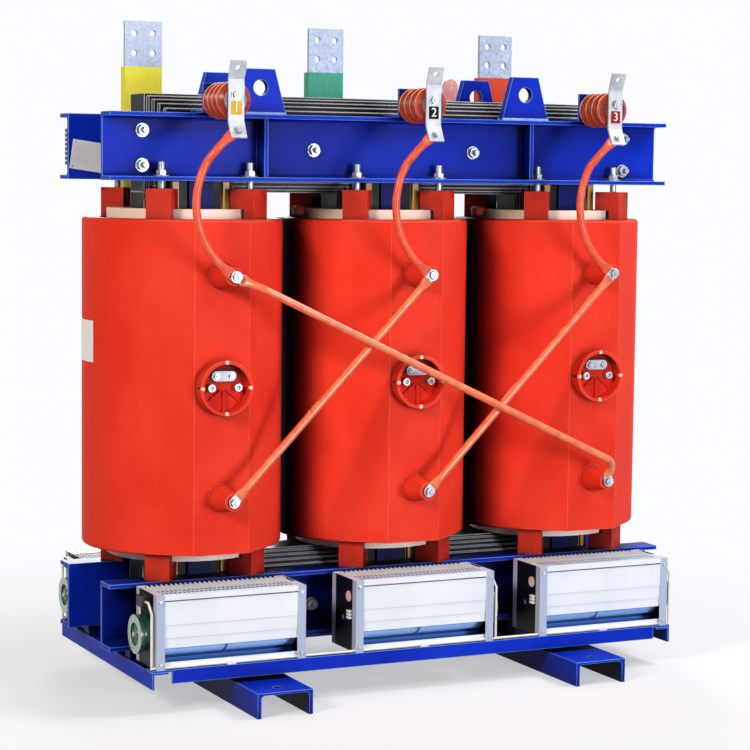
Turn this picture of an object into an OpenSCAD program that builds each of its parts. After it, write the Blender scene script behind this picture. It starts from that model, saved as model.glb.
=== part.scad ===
// Dry-type power transformer: three cast-resin coils on a stepped laminated core,
// held between rolled channel clamps on a fan-cooled base frame.
// X runs along the three coils, the high-voltage side faces -Y, Z is up and the floor is z = 0.

/* [Core and clamps] */
// Diameter of the circle round the stepped core section
core_d = 254; // [240:1:270]
// Thickness of the tie plates that lie along the limbs
tie_plate_t = 8; // [6:1:10]
// Width of the tie plates
tie_plate_w = 60; // [40:1:80]
// Height of the rolled clamp channels
clamp_h = 160; // [140:1:180]
// Flange width of the clamp channels
clamp_b = 65; // [55:1:75]
// Web thickness of the clamp channels
clamp_web = 8.5; // [7:0.5:10]
// Flange thickness of the clamp channels
clamp_flange = 10; // [8:0.5:12]
// Length by which the clamps pass the base frame at each end
clamp_over = 53; // [30:1:80]
// Height of the top yoke's middle line over the top clamps' middle
yoke_offset = 10; // [0:1:12]
// Gap between the yokes' ends and the end rails
yoke_end_gap = 41; // [30:1:60]

/* [Coils] */
// Gap between the core's circle and the low-voltage coils
core_gap = 18; // [16:1:24]
// Wall of the low-voltage coils
lv_wall = 40; // [34:1:46]
// Gap between the low-voltage and the high-voltage coils
coil_gap = 18; // [14:1:22]
// Wall of the cast high-voltage coils
hv_wall = 42; // [36:1:48]
// Gap between neighbouring high-voltage coils
phase_gap = 20; // [14:1:40]
// Height of the high-voltage coils
hv_h = 797; // [640:1:950]
// Length by which the low-voltage coils stand out at each end
lv_proud = 23; // [16:1:28]
// Gap between the bottom yoke and the low-voltage coils
yoke_gap = 4; // [3:1:10]
// Length by which the terminal panel stands out from the casting
panel_proud = 20; // [16:1:26]
// Half width of the terminal panel
panel_half_w = 70; // [60:1:80]
// Width of the support blocks
block_w = 60; // [50:1:66]
// Height of the upper support blocks over the low-voltage coils
block_h = 48; // [40:1:58]
// Bearing of the support blocks from the front or rear direction
block_angle = 36; // [34:0.5:38]
// Gap between the upper support blocks and the top clamps
screw_gap = 19; // [14:1:26]

/* [High-voltage terminals] */
// Depth of the upper terminals under the coil's top
terminal_hi = 130; // [110:1:160]
// Height of the lower terminals over the coil's underside
terminal_lo = 140; // [120:1:160]
// Length of the terminal bosses
boss_l = 77; // [66:1:90]
// Base radius of the terminal bosses
boss_r = 35; // [32:1:40]
// Radius of the sleeved delta bars
delta_r = 9.5; // [6:0.5:10]
// Radius of the sleeved terminal leads
lead_r = 9.5; // [7:0.5:10]
// Radius of the tap changing recess's rim
tap_r = 65; // [56:1:68]
// Length of the post insulators
insulator_l = 112; // [96:1:120]
// Shed radius of the post insulators
insulator_r = 43; // [36:1:50]
// Width of the terminal tabs
tab_w = 39; // [34:1:44]
// Hole in the upper end of the terminal tabs
tab_hole_d = 13; // [11:0.5:14]

/* [Low-voltage bars] */
// Width of the low-voltage bars
lv_bar_w = 100; // [84:1:116]
// Thickness of the low-voltage bars
lv_bar_t = 10; // [8:0.5:12]
// Thickness of the packet behind the bars, up to their bare ends
lv_pack_t = 20; // [10:1:24]
// Gap between the rear clamps and the bars
lv_bar_gap = 96; // [84:1:110]
// Height of the bars over the top clamps
lv_bar_over = 240; // [200:1:280]
// Length of the bare ends
lv_bare_l = 115; // [105:1:130]
// Square spacing of the four connection holes
lv_hole_pitch = 50; // [42:1:58]
// Distance from the bars' top to the upper holes
lv_hole_edge = 30; // [25:1:35]
// Diameter of the connection holes
lv_hole_d = 17; // [13:1:18]

/* [Base] */
// Height of the foot channels
foot_h = 60; // [50:1:70]
// Width of the foot channels
foot_w = 140; // [120:1:160]
// Length by which the feet pass the base frame, front and rear
foot_over = 126; // [100:1:150]
// Distance from each foot's axis to the nearest coil axis
foot_inset = 83; // [70:1:100]
// Distance from each foot's end to its floor bolt hole
foot_hole_inset = 48; // [36:1:60]
// Diameter of the floor bolt holes
foot_hole_d = 22; // [18:1:26]
// Height of the bottom clamps over the feet
clamp_lift = 65; // [54:1:76]
// Leg of the end rails
end_rail_h = 40; // [34:1:46]
// Depth of the front and rear rails' vertical legs
side_rail_h = 33; // [28:1:38]
// Thickness of all rails
rail_t = 5; // [4:0.5:6]

/* [Lifting lugs] */
// Distance from each lug to the nearest coil axis
lug_inset = 145; // [125:1:165]
// Height of the lugs
lug_h = 110; // [100:1:120]
// Thickness of the lugs
lug_t = 20; // [16:1:24]
// Diameter of the lifting holes
lug_hole_d = 38; // [32:1:42]
// Thickness of the ribs in the top clamps under the lugs
clamp_rib_t = 10; // [8:1:12]

/* [Fans] */
// Free length between a fan's motor and the next fan
fan_gap = 104; // [92:1:120]
// Gap between the fans and the bottom clamps
fan_clear = 13; // [10:1:16]
// Gap between a fan's front face and its rotor
rotor_front = 18; // [14:1:24]
// Height of a fan
fan_h = 176; // [150:1:200]
// Radius of the fan rotors
rotor_r = 56; // [50:1:58]
// Number of blades on a rotor
rotor_blades = 36; // [20:1:40]
// Radius of the rotor shafts
shaft_r = 6; // [5:0.5:8]
// Radius of the fan motors
motor_r = 46; // [40:1:50]
// Length of the fan motors
motor_l = 28; // [24:1:36]
// Thickness of the fan sheet
fan_sheet = 2; // [1.5:0.5:3]
// Width of the corner posts' legs
post_w = 21; // [16:1:24]
// Diameter of the fan cables
cable_d = 6; // [5:0.5:7]

/* [Hidden] */
$fn = 48;

// Signs of the two sides, and places of the three phases
sides = [-1, 1];
phases = [-1, 0, 1];
// Gap between a bore and a loose screw through it
screw_clear = 0.5;
// Running clearance of a rotor shaft in its bearings, on the radius
shaft_clear = 0.05;
// Gap between curved faces that lie against each other
curve_gap = 0.3;
// Gap in the butt joints between limbs and yokes
core_lap = 0.1;
// Small amount by which cutting solids pass the faces that they cut
cut = 1;

// Core section: steps inside one circle
core_steps = 7;
step_first = 22;
step_last = 64;
core_t = core_d * sin(step_last);
function step_angle(i) = step_first + i * (step_last - step_first) / (core_steps - 1);
function step_half_t(i) = core_d / 2 * sin(step_angle(i));
function step_half_w(i) = core_d / 2 * cos(step_angle(i));

// Coil radii, from the core outwards
lv_in_r = core_d / 2 + core_gap;
lv_r = lv_in_r + lv_wall;
hv_in_r = lv_r + coil_gap;
hv_r = hv_in_r + hv_wall;
coil_gap_r = (lv_r + hv_in_r) / 2;
phase_pitch = 2 * hv_r + phase_gap;
panel_f = hv_r + panel_proud;

// Heights, from the floor upwards
bottom_clamp_z = foot_h + clamp_lift;
bottom_clamp_top = bottom_clamp_z + clamp_h;
bottom_yoke_z = bottom_clamp_z + clamp_h / 2;
lv_z0 = bottom_yoke_z + step_half_w(0) + yoke_gap;
hv_z0 = lv_z0 + lv_proud;
hv_z1 = hv_z0 + hv_h;
lv_z1 = hv_z1 + lv_proud;
block_top_z = lv_z1 + block_h;
top_clamp_z = block_top_z + screw_gap;
top_clamp_top = top_clamp_z + clamp_h;
top_yoke_z = top_clamp_z + clamp_h / 2 + yoke_offset;

// Clamps: webs stand against the tie plates, flanges point outwards
clamp_y = core_t / 2 + tie_plate_t;
clamp_tip_y = clamp_y + clamp_b;
clamp_root_r = 9;

// Fan depth, from the front face through the rotor to the back of its volute
rotor_gap = 6;
volute_r = rotor_r + rotor_gap;
rotor_y = rotor_front + rotor_r;
fan_d = rotor_y + volute_r + fan_sheet;

// Base frame and feet
frame_half_l = phase_pitch + step_half_w(0) + yoke_end_gap + end_rail_h;
frame_half_d = clamp_tip_y + fan_clear + fan_d;
clamp_half_l = frame_half_l + clamp_over;
foot_x = phase_pitch - foot_inset;
foot_half_l = frame_half_d + foot_over;
foot_hole_y = foot_half_l - foot_hole_inset;
end_rail_top = foot_h + end_rail_h;
frame_top = end_rail_top + rail_t;
rail_cut_gap = 9;
side_rail_cut = end_rail_h + rail_cut_gap;
foot_web = 6;
foot_flange = 9.5;
foot_r = 9;
packer_l = 110;
spacer_inset = 3;
spacer_l = end_rail_h - rail_t - spacer_inset;

// Terminal bosses and tap recess on the coils
hv_edge_r = 8;
term_hi_z = hv_z1 - terminal_hi;
term_lo_z = hv_z0 + terminal_lo;
boss_tip_r = 0.6 * boss_r;
boss_tip_y = panel_f + boss_l;
tap_z = (term_hi_z + term_lo_z) / 2;
tap_proud = 32;
tap_rim = 8;
tap_floor = 26;
tap_notch_r = 4;
tap_stud_r = 7;
tap_stud_l = 8;
tap_link_h = 24;
tap_link_w = 62;

// Support blocks: an inner step under the low-voltage coil, an outer step under the high-voltage coil
block_in = 30;
block_out = 23;
block_r0 = lv_r - block_in;
block_r1 = hv_r - block_out;
screw_shift = 4;
screw_bearing = (block_r0 + block_r1) / 2 + screw_shift;
screw_x = screw_bearing * sin(block_angle);
screw_y = screw_bearing * cos(block_angle);
screw_r = 8;
screw_over = 34;
screw_top = top_clamp_z + clamp_flange + screw_over;
screw_nut_h = 14;

// Post insulators, their brackets and terminal tabs
bracket_t = 6;
bracket_w = 72;
insulator_lift = 27;
insulator_z = top_clamp_top + insulator_lift;
insulator_set_back = 4;
insulator_front_y = boss_tip_y - insulator_set_back;
bracket_y = insulator_front_y - insulator_l;
bracket_rise = 42;
bracket_top = insulator_z + bracket_rise;
shed_depth = 14;
insulator_core_r = insulator_r - shed_depth;
insulator_sheds = 4;
shed_edge_r = 4;
tab_t = 5;
tab_half_h = 49;
tab_end_l = 44;
tab_top_tilt = 20;
tab_low_tilt = 28;
palm_t = 4;
palm_inset = 6;
palm_w = 2 * (boss_tip_r - palm_inset);
palm_gap = 3;
palm_start = boss_tip_r + delta_r + palm_gap;

// Leads: one arc from each upper terminal to the foot of its tab
lead_rise = insulator_z - tab_half_h - term_hi_z - tab_end_l / 2;
lead_sag = 98;
lead_arc_r = (lead_rise * lead_rise / 4 + lead_sag * lead_sag) / (2 * lead_sag);
lead_half_a = asin(lead_rise / 2 / lead_arc_r);
lead_gap = 2;
lead_free = max(boss_tip_r, tab_w / 2) + lead_r + lead_gap;
lead_start_a = lead_half_a - lead_free / lead_arc_r * 180 / PI;
lead_y = boss_tip_y + 0.75 * palm_t;

// Delta bars: the long bar passes in front of the other two
delta_pass = 9;
delta_joggle = 2 * delta_r + delta_pass;
delta_joggle_l = 2.4 * boss_r;

// Low-voltage bars and what stands them off
lv_back = clamp_tip_y + lv_bar_gap;
lv_bar_top = top_clamp_top + lv_bar_over;
lv_lead_lift = 18;
lv_lead_z = lv_z1 + lv_lead_lift;
lv_bend_r = 9;
lv_root_inset = 8;
lv_root_y = lv_in_r + lv_root_inset;
lv_riser_l = 20;
standoff_r = 26;
standoff_lift = 14;
standoff_z = top_clamp_z + clamp_h / 2 + standoff_lift;
standoff_sheds = 3;
neutral_inset = 94;
neutral_x = phase_pitch - neutral_inset;
neutral_gap = 82;
neutral_back = lv_back + neutral_gap;
neutral_w = 44;
neutral_over = 123;

// Lugs: trapezoid plates on the top flanges
lug_x = phase_pitch - lug_inset;
lug_top_w = 74;
lug_foot_w = 134;
lug_hole_drop = 45;

// Fans: local X along the rotor from the middle, Y from the front face, Z from the base frame
bearing_l = 10;
bearing_wall = 6;
bearing_r = shaft_r + bearing_wall;
fan_l = phase_pitch - motor_l - fan_gap;
volute_lift = 11;
rotor_z = volute_r + fan_sheet + volute_lift;
rotor_disc_t = 3;
rotor_end_gap = 5;
rotor_half_l = fan_l / 2 - bearing_l - rotor_end_gap;
blade_l = 9;
blade_t = 1.6;
blade_slant = 38;
lip_h = 16;
window_h = 34;
strip_h = 13;
strip_gap = 3;
fold_low = 73;
fold_high = 104;
fold_step = 1.5;
outlet_y = 60;
tongue_h = 34;
lip_y = cable_d + 2 * fan_sheet;
cable_room = 3;
cable_slot_h = cable_d + cable_room;
grille_teeth = 30;
grille_t = 1.6;
grille_h = 8;
motor_flange_t = 5;
motor_body_r = 0.9 * motor_r;
gland_wall = 2;
gland_r = cable_d / 2 + gland_wall;
gland_l = 6;
gland_x = motor_l / 2;

// Terminal boxes on the fans' end plates, over the motors
box_w = 20;
box_d = 38;
box_h = 26;
box_y = rotor_y - box_d + 2 * gland_r;
box_rise = 19.6;
box_z = rotor_z + motor_body_r + gland_l + box_rise;

// Fan cables: a run on each side rail, through the fans' end plates, with a riser to every terminal box
cable_y = lip_y / 2 + fan_sheet / 2;
cable_z = cable_slot_h / 2;
riser_x = box_w / 2;
riser_bend = 22;
clip_w = 22;
clip_h = cable_slot_h - 1;

// Rolled channel section: web along Y from x = 0, flanges towards +X
module channel_section(h, b, web, flange, root_r) {
    difference() {
        square([b, h]);
        translate([web + root_r, flange])
            square([b, h - 2 * flange]);
        translate([web, flange + root_r])
            square([b, h - 2 * flange - 2 * root_r]);
        for (z = [flange + root_r, h - flange - root_r])
            translate([web + root_r, z])
                circle(r = root_r);
    }
}

// Straight round bar between two points
module round_bar(a, b, r) {
    v = b - a;
    translate(a)
        rotate([0, acos(v[2] / norm(v)), atan2(v[1], v[0])])
            cylinder(r = r, h = norm(v));
}

// Foot: a channel laid web up, with a floor bolt hole near each end
module foot(x) {
    color("mediumblue")
        difference() {
            translate([x - foot_w / 2, foot_half_l, foot_h])
                rotate([90, 0, 0])
                    linear_extrude(2 * foot_half_l)
                        rotate(-90)
                            channel_section(foot_w, foot_h, foot_web, foot_flange, foot_r);
            for (s = sides)
                translate([x, s * foot_hole_y, foot_h - foot_web - cut])
                    cylinder(d = foot_hole_d, h = foot_web + 2 * cut);
        }
}

module foot_left() {
    foot(-foot_x);
}

module foot_right() {
    foot(foot_x);
}

// Front or rear rail: an angle whose top leg lies on the end rails and whose front leg stops short of them
module side_rail(side) {
    leg_half_l = frame_half_l - side_rail_cut;
    color("mediumblue")
        mirror([0, side > 0 ? 1 : 0, 0])
            union() {
                translate([-frame_half_l, -frame_half_d, end_rail_top])
                    cube([2 * frame_half_l, end_rail_h, rail_t]);
                translate([-leg_half_l, -frame_half_d, frame_top - side_rail_h])
                    cube([2 * leg_half_l, rail_t, side_rail_h]);
            }
}

module front_rail() {
    side_rail(-1);
}

module rear_rail() {
    side_rail(1);
}

// End rail: an angle with its upright leg outwards
module end_rail(side) {
    color("mediumblue")
        mirror([side > 0 ? 1 : 0, 0, 0])
            translate([-frame_half_l, frame_half_d, foot_h])
                rotate([90, 0, 0])
                    linear_extrude(2 * frame_half_d)
                        union() {
                            square([rail_t, end_rail_h]);
                            translate([0, end_rail_h - rail_t])
                                square([end_rail_h, rail_t]);
                        }
}

module left_rail() {
    end_rail(-1);
}

module right_rail() {
    end_rail(1);
}

// Packers that carry the bottom clamps on the feet, and spacers that hang the end rails under them
module base_packers() {
    color("mediumblue")
        for (sx = sides, sy = sides) {
            translate([sx * foot_x - packer_l / 2, min(sy * clamp_y, sy * clamp_tip_y), foot_h])
                cube([packer_l, clamp_b, bottom_clamp_z - foot_h]);
            translate([sx * (frame_half_l - end_rail_h / 2) - spacer_l / 2,
                    sy * (clamp_y + clamp_b / 2) - spacer_l / 2, end_rail_top])
                cube([spacer_l, spacer_l, bottom_clamp_z - end_rail_top]);
        }
}

// Clamp channel along X, with its web against the core
module clamp(side, z) {
    mirror([0, side < 0 ? 1 : 0, 0])
        translate([-clamp_half_l, clamp_y, z])
            rotate([90, 0, 90])
                linear_extrude(2 * clamp_half_l)
                    channel_section(clamp_h, clamp_b, clamp_web, clamp_flange, clamp_root_r);
}

module bottom_clamp_front() {
    color("mediumblue")
        clamp(-1, bottom_clamp_z);
}

module bottom_clamp_rear() {
    color("mediumblue")
        clamp(1, bottom_clamp_z);
}

// Top clamp with ribs under the lugs and the holes that its pressure screws pass through
module top_clamp(side) {
    rib_inset = 8;
    rib_d = clamp_b - clamp_web - rib_inset;
    color("mediumblue")
        difference() {
            union() {
                clamp(side, top_clamp_z);
                for (sx = sides)
                    translate([sx * lug_x - clamp_rib_t / 2, min(side * (clamp_y + clamp_web / 2),
                            side * (clamp_y + clamp_web + rib_d)), top_clamp_z + clamp_flange / 2])
                        cube([clamp_rib_t, clamp_web / 2 + rib_d, clamp_h - clamp_flange]);
            }
            for (p = phases, s = sides)
                translate([p * phase_pitch + s * screw_x, side * screw_y, top_clamp_z - cut])
                    cylinder(r = screw_r + screw_clear, h = clamp_flange + 2 * cut);
        }
}

module top_clamp_front() {
    top_clamp(-1);
}

module top_clamp_rear() {
    top_clamp(1);
}

// Lifting lugs: trapezoid plates with one hole each
module lifting_lugs() {
    color("mediumblue")
        for (sx = sides, sy = sides)
            translate([sx * lug_x, sy * clamp_y + (sy > 0 ? lug_t : 0), top_clamp_top])
                rotate([90, 0, 0])
                    linear_extrude(lug_t)
                        difference() {
                            polygon([[-lug_foot_w / 2, 0], [lug_foot_w / 2, 0],
                                [lug_top_w / 2, lug_h], [-lug_top_w / 2, lug_h]]);
                            translate([0, lug_h - lug_hole_drop])
                                circle(d = lug_hole_d);
                        }
}

// Yoke: packets of laminations, each as long as its own limb packet needs
module yoke_packets(z) {
    union()
        for (i = [0 : core_steps - 1])
            translate([-phase_pitch - step_half_w(i), -step_half_t(i), z - step_half_w(i)])
                cube([2 * (phase_pitch + step_half_w(i)), 2 * step_half_t(i), 2 * step_half_w(i)]);
}

module core_bottom_yoke() {
    color("dimgray")
        yoke_packets(bottom_yoke_z);
}

module core_top_yoke() {
    color("dimgray")
        yoke_packets(top_yoke_z);
}

// One step of a limb, front and rear: its packets run from the bottom yoke's same step to the top yoke's
module limb_step(i) {
    inner = i == 0 ? 0 : step_half_t(i - 1);
    end_in = step_half_w(i) + core_lap;
    for (s = sides)
        translate([-step_half_w(i), min(s * inner, s * step_half_t(i)), bottom_yoke_z + end_in])
            cube([2 * step_half_w(i), step_half_t(i) - inner, top_yoke_z - bottom_yoke_z - 2 * end_in]);
}

// Limbs: the same stepped packets as the yokes, upright
module core_limbs() {
    color("dimgray")
        for (p = phases)
            translate([p * phase_pitch, 0, 0])
                union()
                    for (i = [0 : core_steps - 1])
                        limb_step(i);
}

// Tie plates from the bottom clamps to the top clamps, front and rear of each limb
module tie_plates() {
    color("mediumblue")
        for (p = phases, s = sides)
            translate([p * phase_pitch - tie_plate_w / 2, min(s * core_t / 2, s * clamp_y), bottom_clamp_z])
                cube([tie_plate_w, tie_plate_t, top_clamp_top - bottom_clamp_z]);
}

// Wooden wedges beside the tie plates, between limb and low-voltage coil
module limb_wedges() {
    wedge_w = 16;
    wedge_x = step_half_w(core_steps - 1) + 1;
    wedge_y0 = step_half_t(core_steps - 2) + curve_gap;
    wedge_t = sqrt(pow(lv_in_r - 2, 2) - pow(wedge_x + wedge_w, 2)) - wedge_y0;
    color("goldenrod")
        for (p = phases, sx = sides, sy = sides)
            translate([p * phase_pitch + sx * (wedge_x + wedge_w / 2) - wedge_w / 2,
                    min(sy * wedge_y0, sy * (wedge_y0 + wedge_t)), bottom_clamp_top + 2])
                cube([wedge_w, wedge_t, top_clamp_z - bottom_clamp_top - 4]);
}

// Low-voltage coil: a plain wound and sealed tube
module lv_coil(x) {
    color("antiquewhite")
        translate([x, 0, lv_z0])
            difference() {
                cylinder(r = lv_r, h = lv_z1 - lv_z0);
                translate([0, 0, -cut])
                    cylinder(r = lv_in_r, h = lv_z1 - lv_z0 + 2 * cut);
            }
}

module lv_coil_a() {
    lv_coil(-phase_pitch);
}

module lv_coil_b() {
    lv_coil(0);
}

module lv_coil_c() {
    lv_coil(phase_pitch);
}

// Half section of the cast tube, with rounded outer edges
module hv_tube_section() {
    union() {
        translate([hv_in_r, 0])
            square([hv_wall - hv_edge_r, hv_h]);
        translate([hv_in_r, hv_edge_r])
            square([hv_wall, hv_h - 2 * hv_edge_r]);
        for (z = [hv_edge_r, hv_h - hv_edge_r])
            translate([hv_r - hv_edge_r, z])
                circle(r = hv_edge_r);
    }
}

// Outline of the terminal panel: a flat front whose sides run back tangent to the tube
module panel_outline() {
    corner_d = norm([panel_half_w, panel_f]);
    corner_a = atan2(panel_f, panel_half_w);
    tangent_a = corner_a - acos(hv_r / corner_d);
    polygon([[panel_half_w, -panel_f], [hv_r * cos(tangent_a), -hv_r * sin(tangent_a)],
        [(hv_r - hv_wall / 2) * cos(tangent_a), -(hv_r - hv_wall / 2) * sin(tangent_a)],
        [-(hv_r - hv_wall / 2) * cos(tangent_a), -(hv_r - hv_wall / 2) * sin(tangent_a)],
        [-hv_r * cos(tangent_a), -hv_r * sin(tangent_a)], [-panel_half_w, -panel_f]]);
}

// High-voltage coil: cast tube, terminal panel, two bosses and the tap recess, all one casting
module hv_coil(x) {
    rib_t = 4;
    color("orangered")
        translate([x, 0, hv_z0])
            union() {
                rotate_extrude($fn = 96)
                    hv_tube_section();
                translate([0, 0, hv_edge_r / 2])
                    linear_extrude(hv_h - hv_edge_r)
                        difference() {
                            panel_outline();
                            circle(r = hv_r - hv_wall / 2, $fn = 96);
                        }
                for (z = [terminal_lo, hv_h - terminal_hi])
                    translate([0, -panel_f + cut, z])
                        rotate([90, 0, 0])
                            cylinder(r1 = boss_r, r2 = boss_tip_r, h = boss_l + cut);
                translate([0, -panel_f + cut, tap_z - hv_z0])
                    rotate([90, 0, 0])
                        difference() {
                            cylinder(r = tap_r, h = tap_proud + cut);
                            translate([0, 0, tap_proud - tap_floor])
                                cylinder(r = tap_r - tap_rim, h = tap_floor + 2 * cut);
                            for (a = [0 : 90 : 270])
                                rotate(a)
                                    translate([tap_r, 0, tap_proud - tap_floor])
                                        cylinder(r = tap_notch_r, h = tap_floor + 2 * cut);
                        }
                intersection() {
                    translate([0, -panel_f + cut, tap_z - hv_z0])
                        rotate([90, 0, 0])
                            cylinder(r = tap_r - tap_rim + cut, h = tap_proud - tap_floor + 8);
                    for (a = [-50, 0, 50])
                        translate([0, -panel_f - tap_proud, tap_z - hv_z0])
                            rotate([0, a, 0])
                                translate([-rib_t / 2, 0, -tap_r])
                                    cube([rib_t, tap_proud, tap_r - 2 * rib_t]);
                }
            }
}

module hv_coil_a() {
    hv_coil(-phase_pitch);
}

module hv_coil_b() {
    hv_coil(0);
}

module hv_coil_c() {
    hv_coil(phase_pitch);
}

// Outline of a bridging strap with round ends
module tap_link_outline() {
    half = (tap_link_w - tap_link_h) / 2;
    union() {
        square([2 * half, tap_link_h], center = true);
        for (s = sides)
            translate([s * half, 0])
                circle(d = tap_link_h, $fn = 32);
    }
}

// Tap links: a bridging strap over the upper studs and two spare studs, in each tap recess
module tap_links() {
    floor_y = panel_f + tap_proud - tap_floor - cut;
    color("silver")
        for (p = phases)
            translate([p * phase_pitch, -floor_y, tap_z]) {
                translate([0, 0, 0.42 * tap_r])
                    rotate([90, 0, 0])
                        linear_extrude(tap_stud_l)
                            tap_link_outline();
                for (s = sides)
                    translate([s * 0.52 * tap_r, 0, 0])
                        rotate([90, 0, 0])
                            cylinder(r = tap_stud_r, h = tap_stud_l + 4);
            }
}

// One support block seen along its radius: a step carries each coil, the heel bears on the clamp
module support_block(heel_z, lv_end, hv_end) {
    low = min(heel_z, hv_end);
    translate([block_r0, -block_w / 2, min(heel_z, lv_end)])
        cube([coil_gap_r - block_r0, block_w, abs(lv_end - heel_z)]);
    translate([coil_gap_r, -block_w / 2, low])
        cube([block_r1 - coil_gap_r, block_w, abs(hv_end - heel_z)]);
}

// Ring of four blocks under or over every coil
module support_blocks(heel_z, lv_end, hv_end) {
    color("firebrick")
        for (p = phases, front = [-90, 90], s = sides)
            translate([p * phase_pitch, 0, 0])
                rotate(front + s * block_angle)
                    union()
                        support_block(heel_z, lv_end, hv_end);
}

module lower_support_blocks() {
    support_blocks(bottom_clamp_top, lv_z0, hv_z0);
}

module upper_support_blocks() {
    support_blocks(block_top_z, lv_z1, hv_z1);
}

// Pressure screws: each passes the clamp's lower flange and presses on a block
module pressure_screws() {
    color("silver")
        for (p = phases, sx = sides, sy = sides)
            translate([p * phase_pitch + sx * screw_x, sy * screw_y, 0])
                union() {
                    translate([0, 0, block_top_z])
                        cylinder(r = screw_r, h = screw_top - block_top_z);
                    translate([0, 0, top_clamp_z + clamp_flange])
                        cylinder(r = 1.6 * screw_r, h = screw_nut_h, $fn = 6);
                }
}

// Bent brackets that carry the post insulators in front of the top clamp
module insulator_brackets() {
    color("mediumblue")
        for (p = phases)
            translate([p * phase_pitch - bracket_w / 2, 0, top_clamp_top])
                union() {
                    translate([0, -bracket_y, 0])
                        cube([bracket_w, bracket_y - clamp_y - lug_t, bracket_t]);
                    translate([0, -bracket_y, 0])
                        cube([bracket_w, bracket_t, bracket_top - top_clamp_top]);
                }
}

// Profile of a shedded post from its base at y = 0, with a round edge on every shed
module shed_profile(core_r, shed_r, length, sheds, edge_r) {
    pitch = length / sheds;
    union() {
        square([core_r, length]);
        for (i = [0 : sheds - 1])
            translate([0, (i + 0.5) * pitch]) {
                polygon([[core_r / 2, -0.42 * pitch], [core_r, -0.42 * pitch], [shed_r - edge_r, -edge_r],
                    [shed_r - edge_r, edge_r], [core_r, 0.42 * pitch], [core_r / 2, 0.42 * pitch]]);
                translate([shed_r - edge_r, 0])
                    circle(r = edge_r, $fn = 24);
            }
    }
}

// Post insulators, with their axes towards the front
module hv_insulators() {
    color("firebrick")
        for (p = phases)
            translate([p * phase_pitch, -bracket_y, insulator_z])
                rotate([90, 0, 0])
                    rotate_extrude()
                        shed_profile(insulator_core_r, insulator_r, insulator_l, insulator_sheds, shed_edge_r);
}

// Side view of a terminal tab: rear face on y = 0, both ends bent forwards
module tab_section() {
    low = [-sin(tab_low_tilt), -cos(tab_low_tilt)];
    high = [-sin(tab_top_tilt), cos(tab_top_tilt)];
    low_bend = [0, -tab_half_h];
    high_bend = [0, tab_half_h];
    polygon([low_bend + tab_end_l * low, low_bend, high_bend, high_bend + tab_end_l * high,
        high_bend + tab_end_l * high + tab_t * [-high[1], high[0]],
        high_bend + tab_t * [-1, -tan(tab_top_tilt / 2)],
        low_bend + tab_t * [-1, tan(tab_low_tilt / 2)],
        low_bend + tab_end_l * low + tab_t * [low[1], -low[0]]]);
}

// Terminal tabs: bent straps on the insulators, with a hole in the upper end
module hv_terminal_tabs() {
    color("silver")
        for (p = phases)
            translate([p * phase_pitch, -insulator_front_y, insulator_z])
                difference() {
                    translate([-tab_w / 2, 0, 0])
                        rotate([90, 0, 90])
                            linear_extrude(tab_w)
                                tab_section();
                    translate([0, 0, tab_half_h])
                        rotate([tab_top_tilt, 0, 0])
                            translate([0, cut, 0.64 * tab_end_l])
                                rotate([90, 0, 0])
                                    cylinder(d = tab_hole_d, h = tab_t + 2 * cut);
                }
}

// Leads: sleeved rods bent to one arc, with a flat palm on the terminal and one behind the tab
module hv_leads() {
    mid_x = lead_arc_r - lead_sag;
    palm_l = lead_free + lead_r;
    color("orangered")
        for (p = phases)
            translate([p * phase_pitch, 0, 0])
                union() {
                    translate([mid_x, -lead_y, term_hi_z + lead_rise / 2])
                        rotate([90, 0, 0])
                            rotate([0, 0, 180 - lead_start_a])
                                rotate_extrude(angle = 2 * lead_start_a, $fn = 96)
                                    translate([lead_arc_r, 0])
                                        circle(r = lead_r, $fn = 24);
                    translate([0, -boss_tip_y - palm_t / 2, term_hi_z])
                        rotate([0, -90 - lead_half_a, 0])
                            translate([-palm_w / 2, -palm_t / 2, -palm_w / 2])
                                cube([palm_l + palm_w / 2, palm_t, palm_w]);
                    translate([0, -insulator_front_y, insulator_z - tab_half_h])
                        rotate([-tab_low_tilt, 0, 0])
                            translate([-palm_l, 0, -tab_end_l])
                                cube([palm_l + palm_w / 2, palm_t, 0.7 * tab_end_l]);
                }
}

// Palm of a delta bar at one terminal, drawn from the terminal towards +X
module delta_palm(depth) {
    translate([-palm_w / 2, -palm_t / 2, -palm_w / 2])
        cube([palm_start + palm_w / 2 + depth, palm_t, palm_w]);
}

// Straight delta bar between an upper and a lower terminal
module delta_bar(x_hi, x_lo) {
    hi = [x_hi, -boss_tip_y - 1.5 * palm_t, term_hi_z];
    lo = [x_lo, -boss_tip_y - palm_t / 2, term_lo_z];
    run = lo - hi;
    step = palm_start * run / norm(run);
    slope = atan2(-run[2], run[0]);
    color("orangered")
        union() {
            translate(hi)
                rotate([0, slope, 0])
                    delta_palm(palm_w / 2);
            translate(lo)
                rotate([0, slope + 180, 0])
                    delta_palm(palm_w / 2);
            round_bar(hi + step, lo - step, delta_r);
        }
}

module delta_bar_left() {
    delta_bar(0, -phase_pitch);
}

module delta_bar_right() {
    delta_bar(phase_pitch, 0);
}

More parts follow.
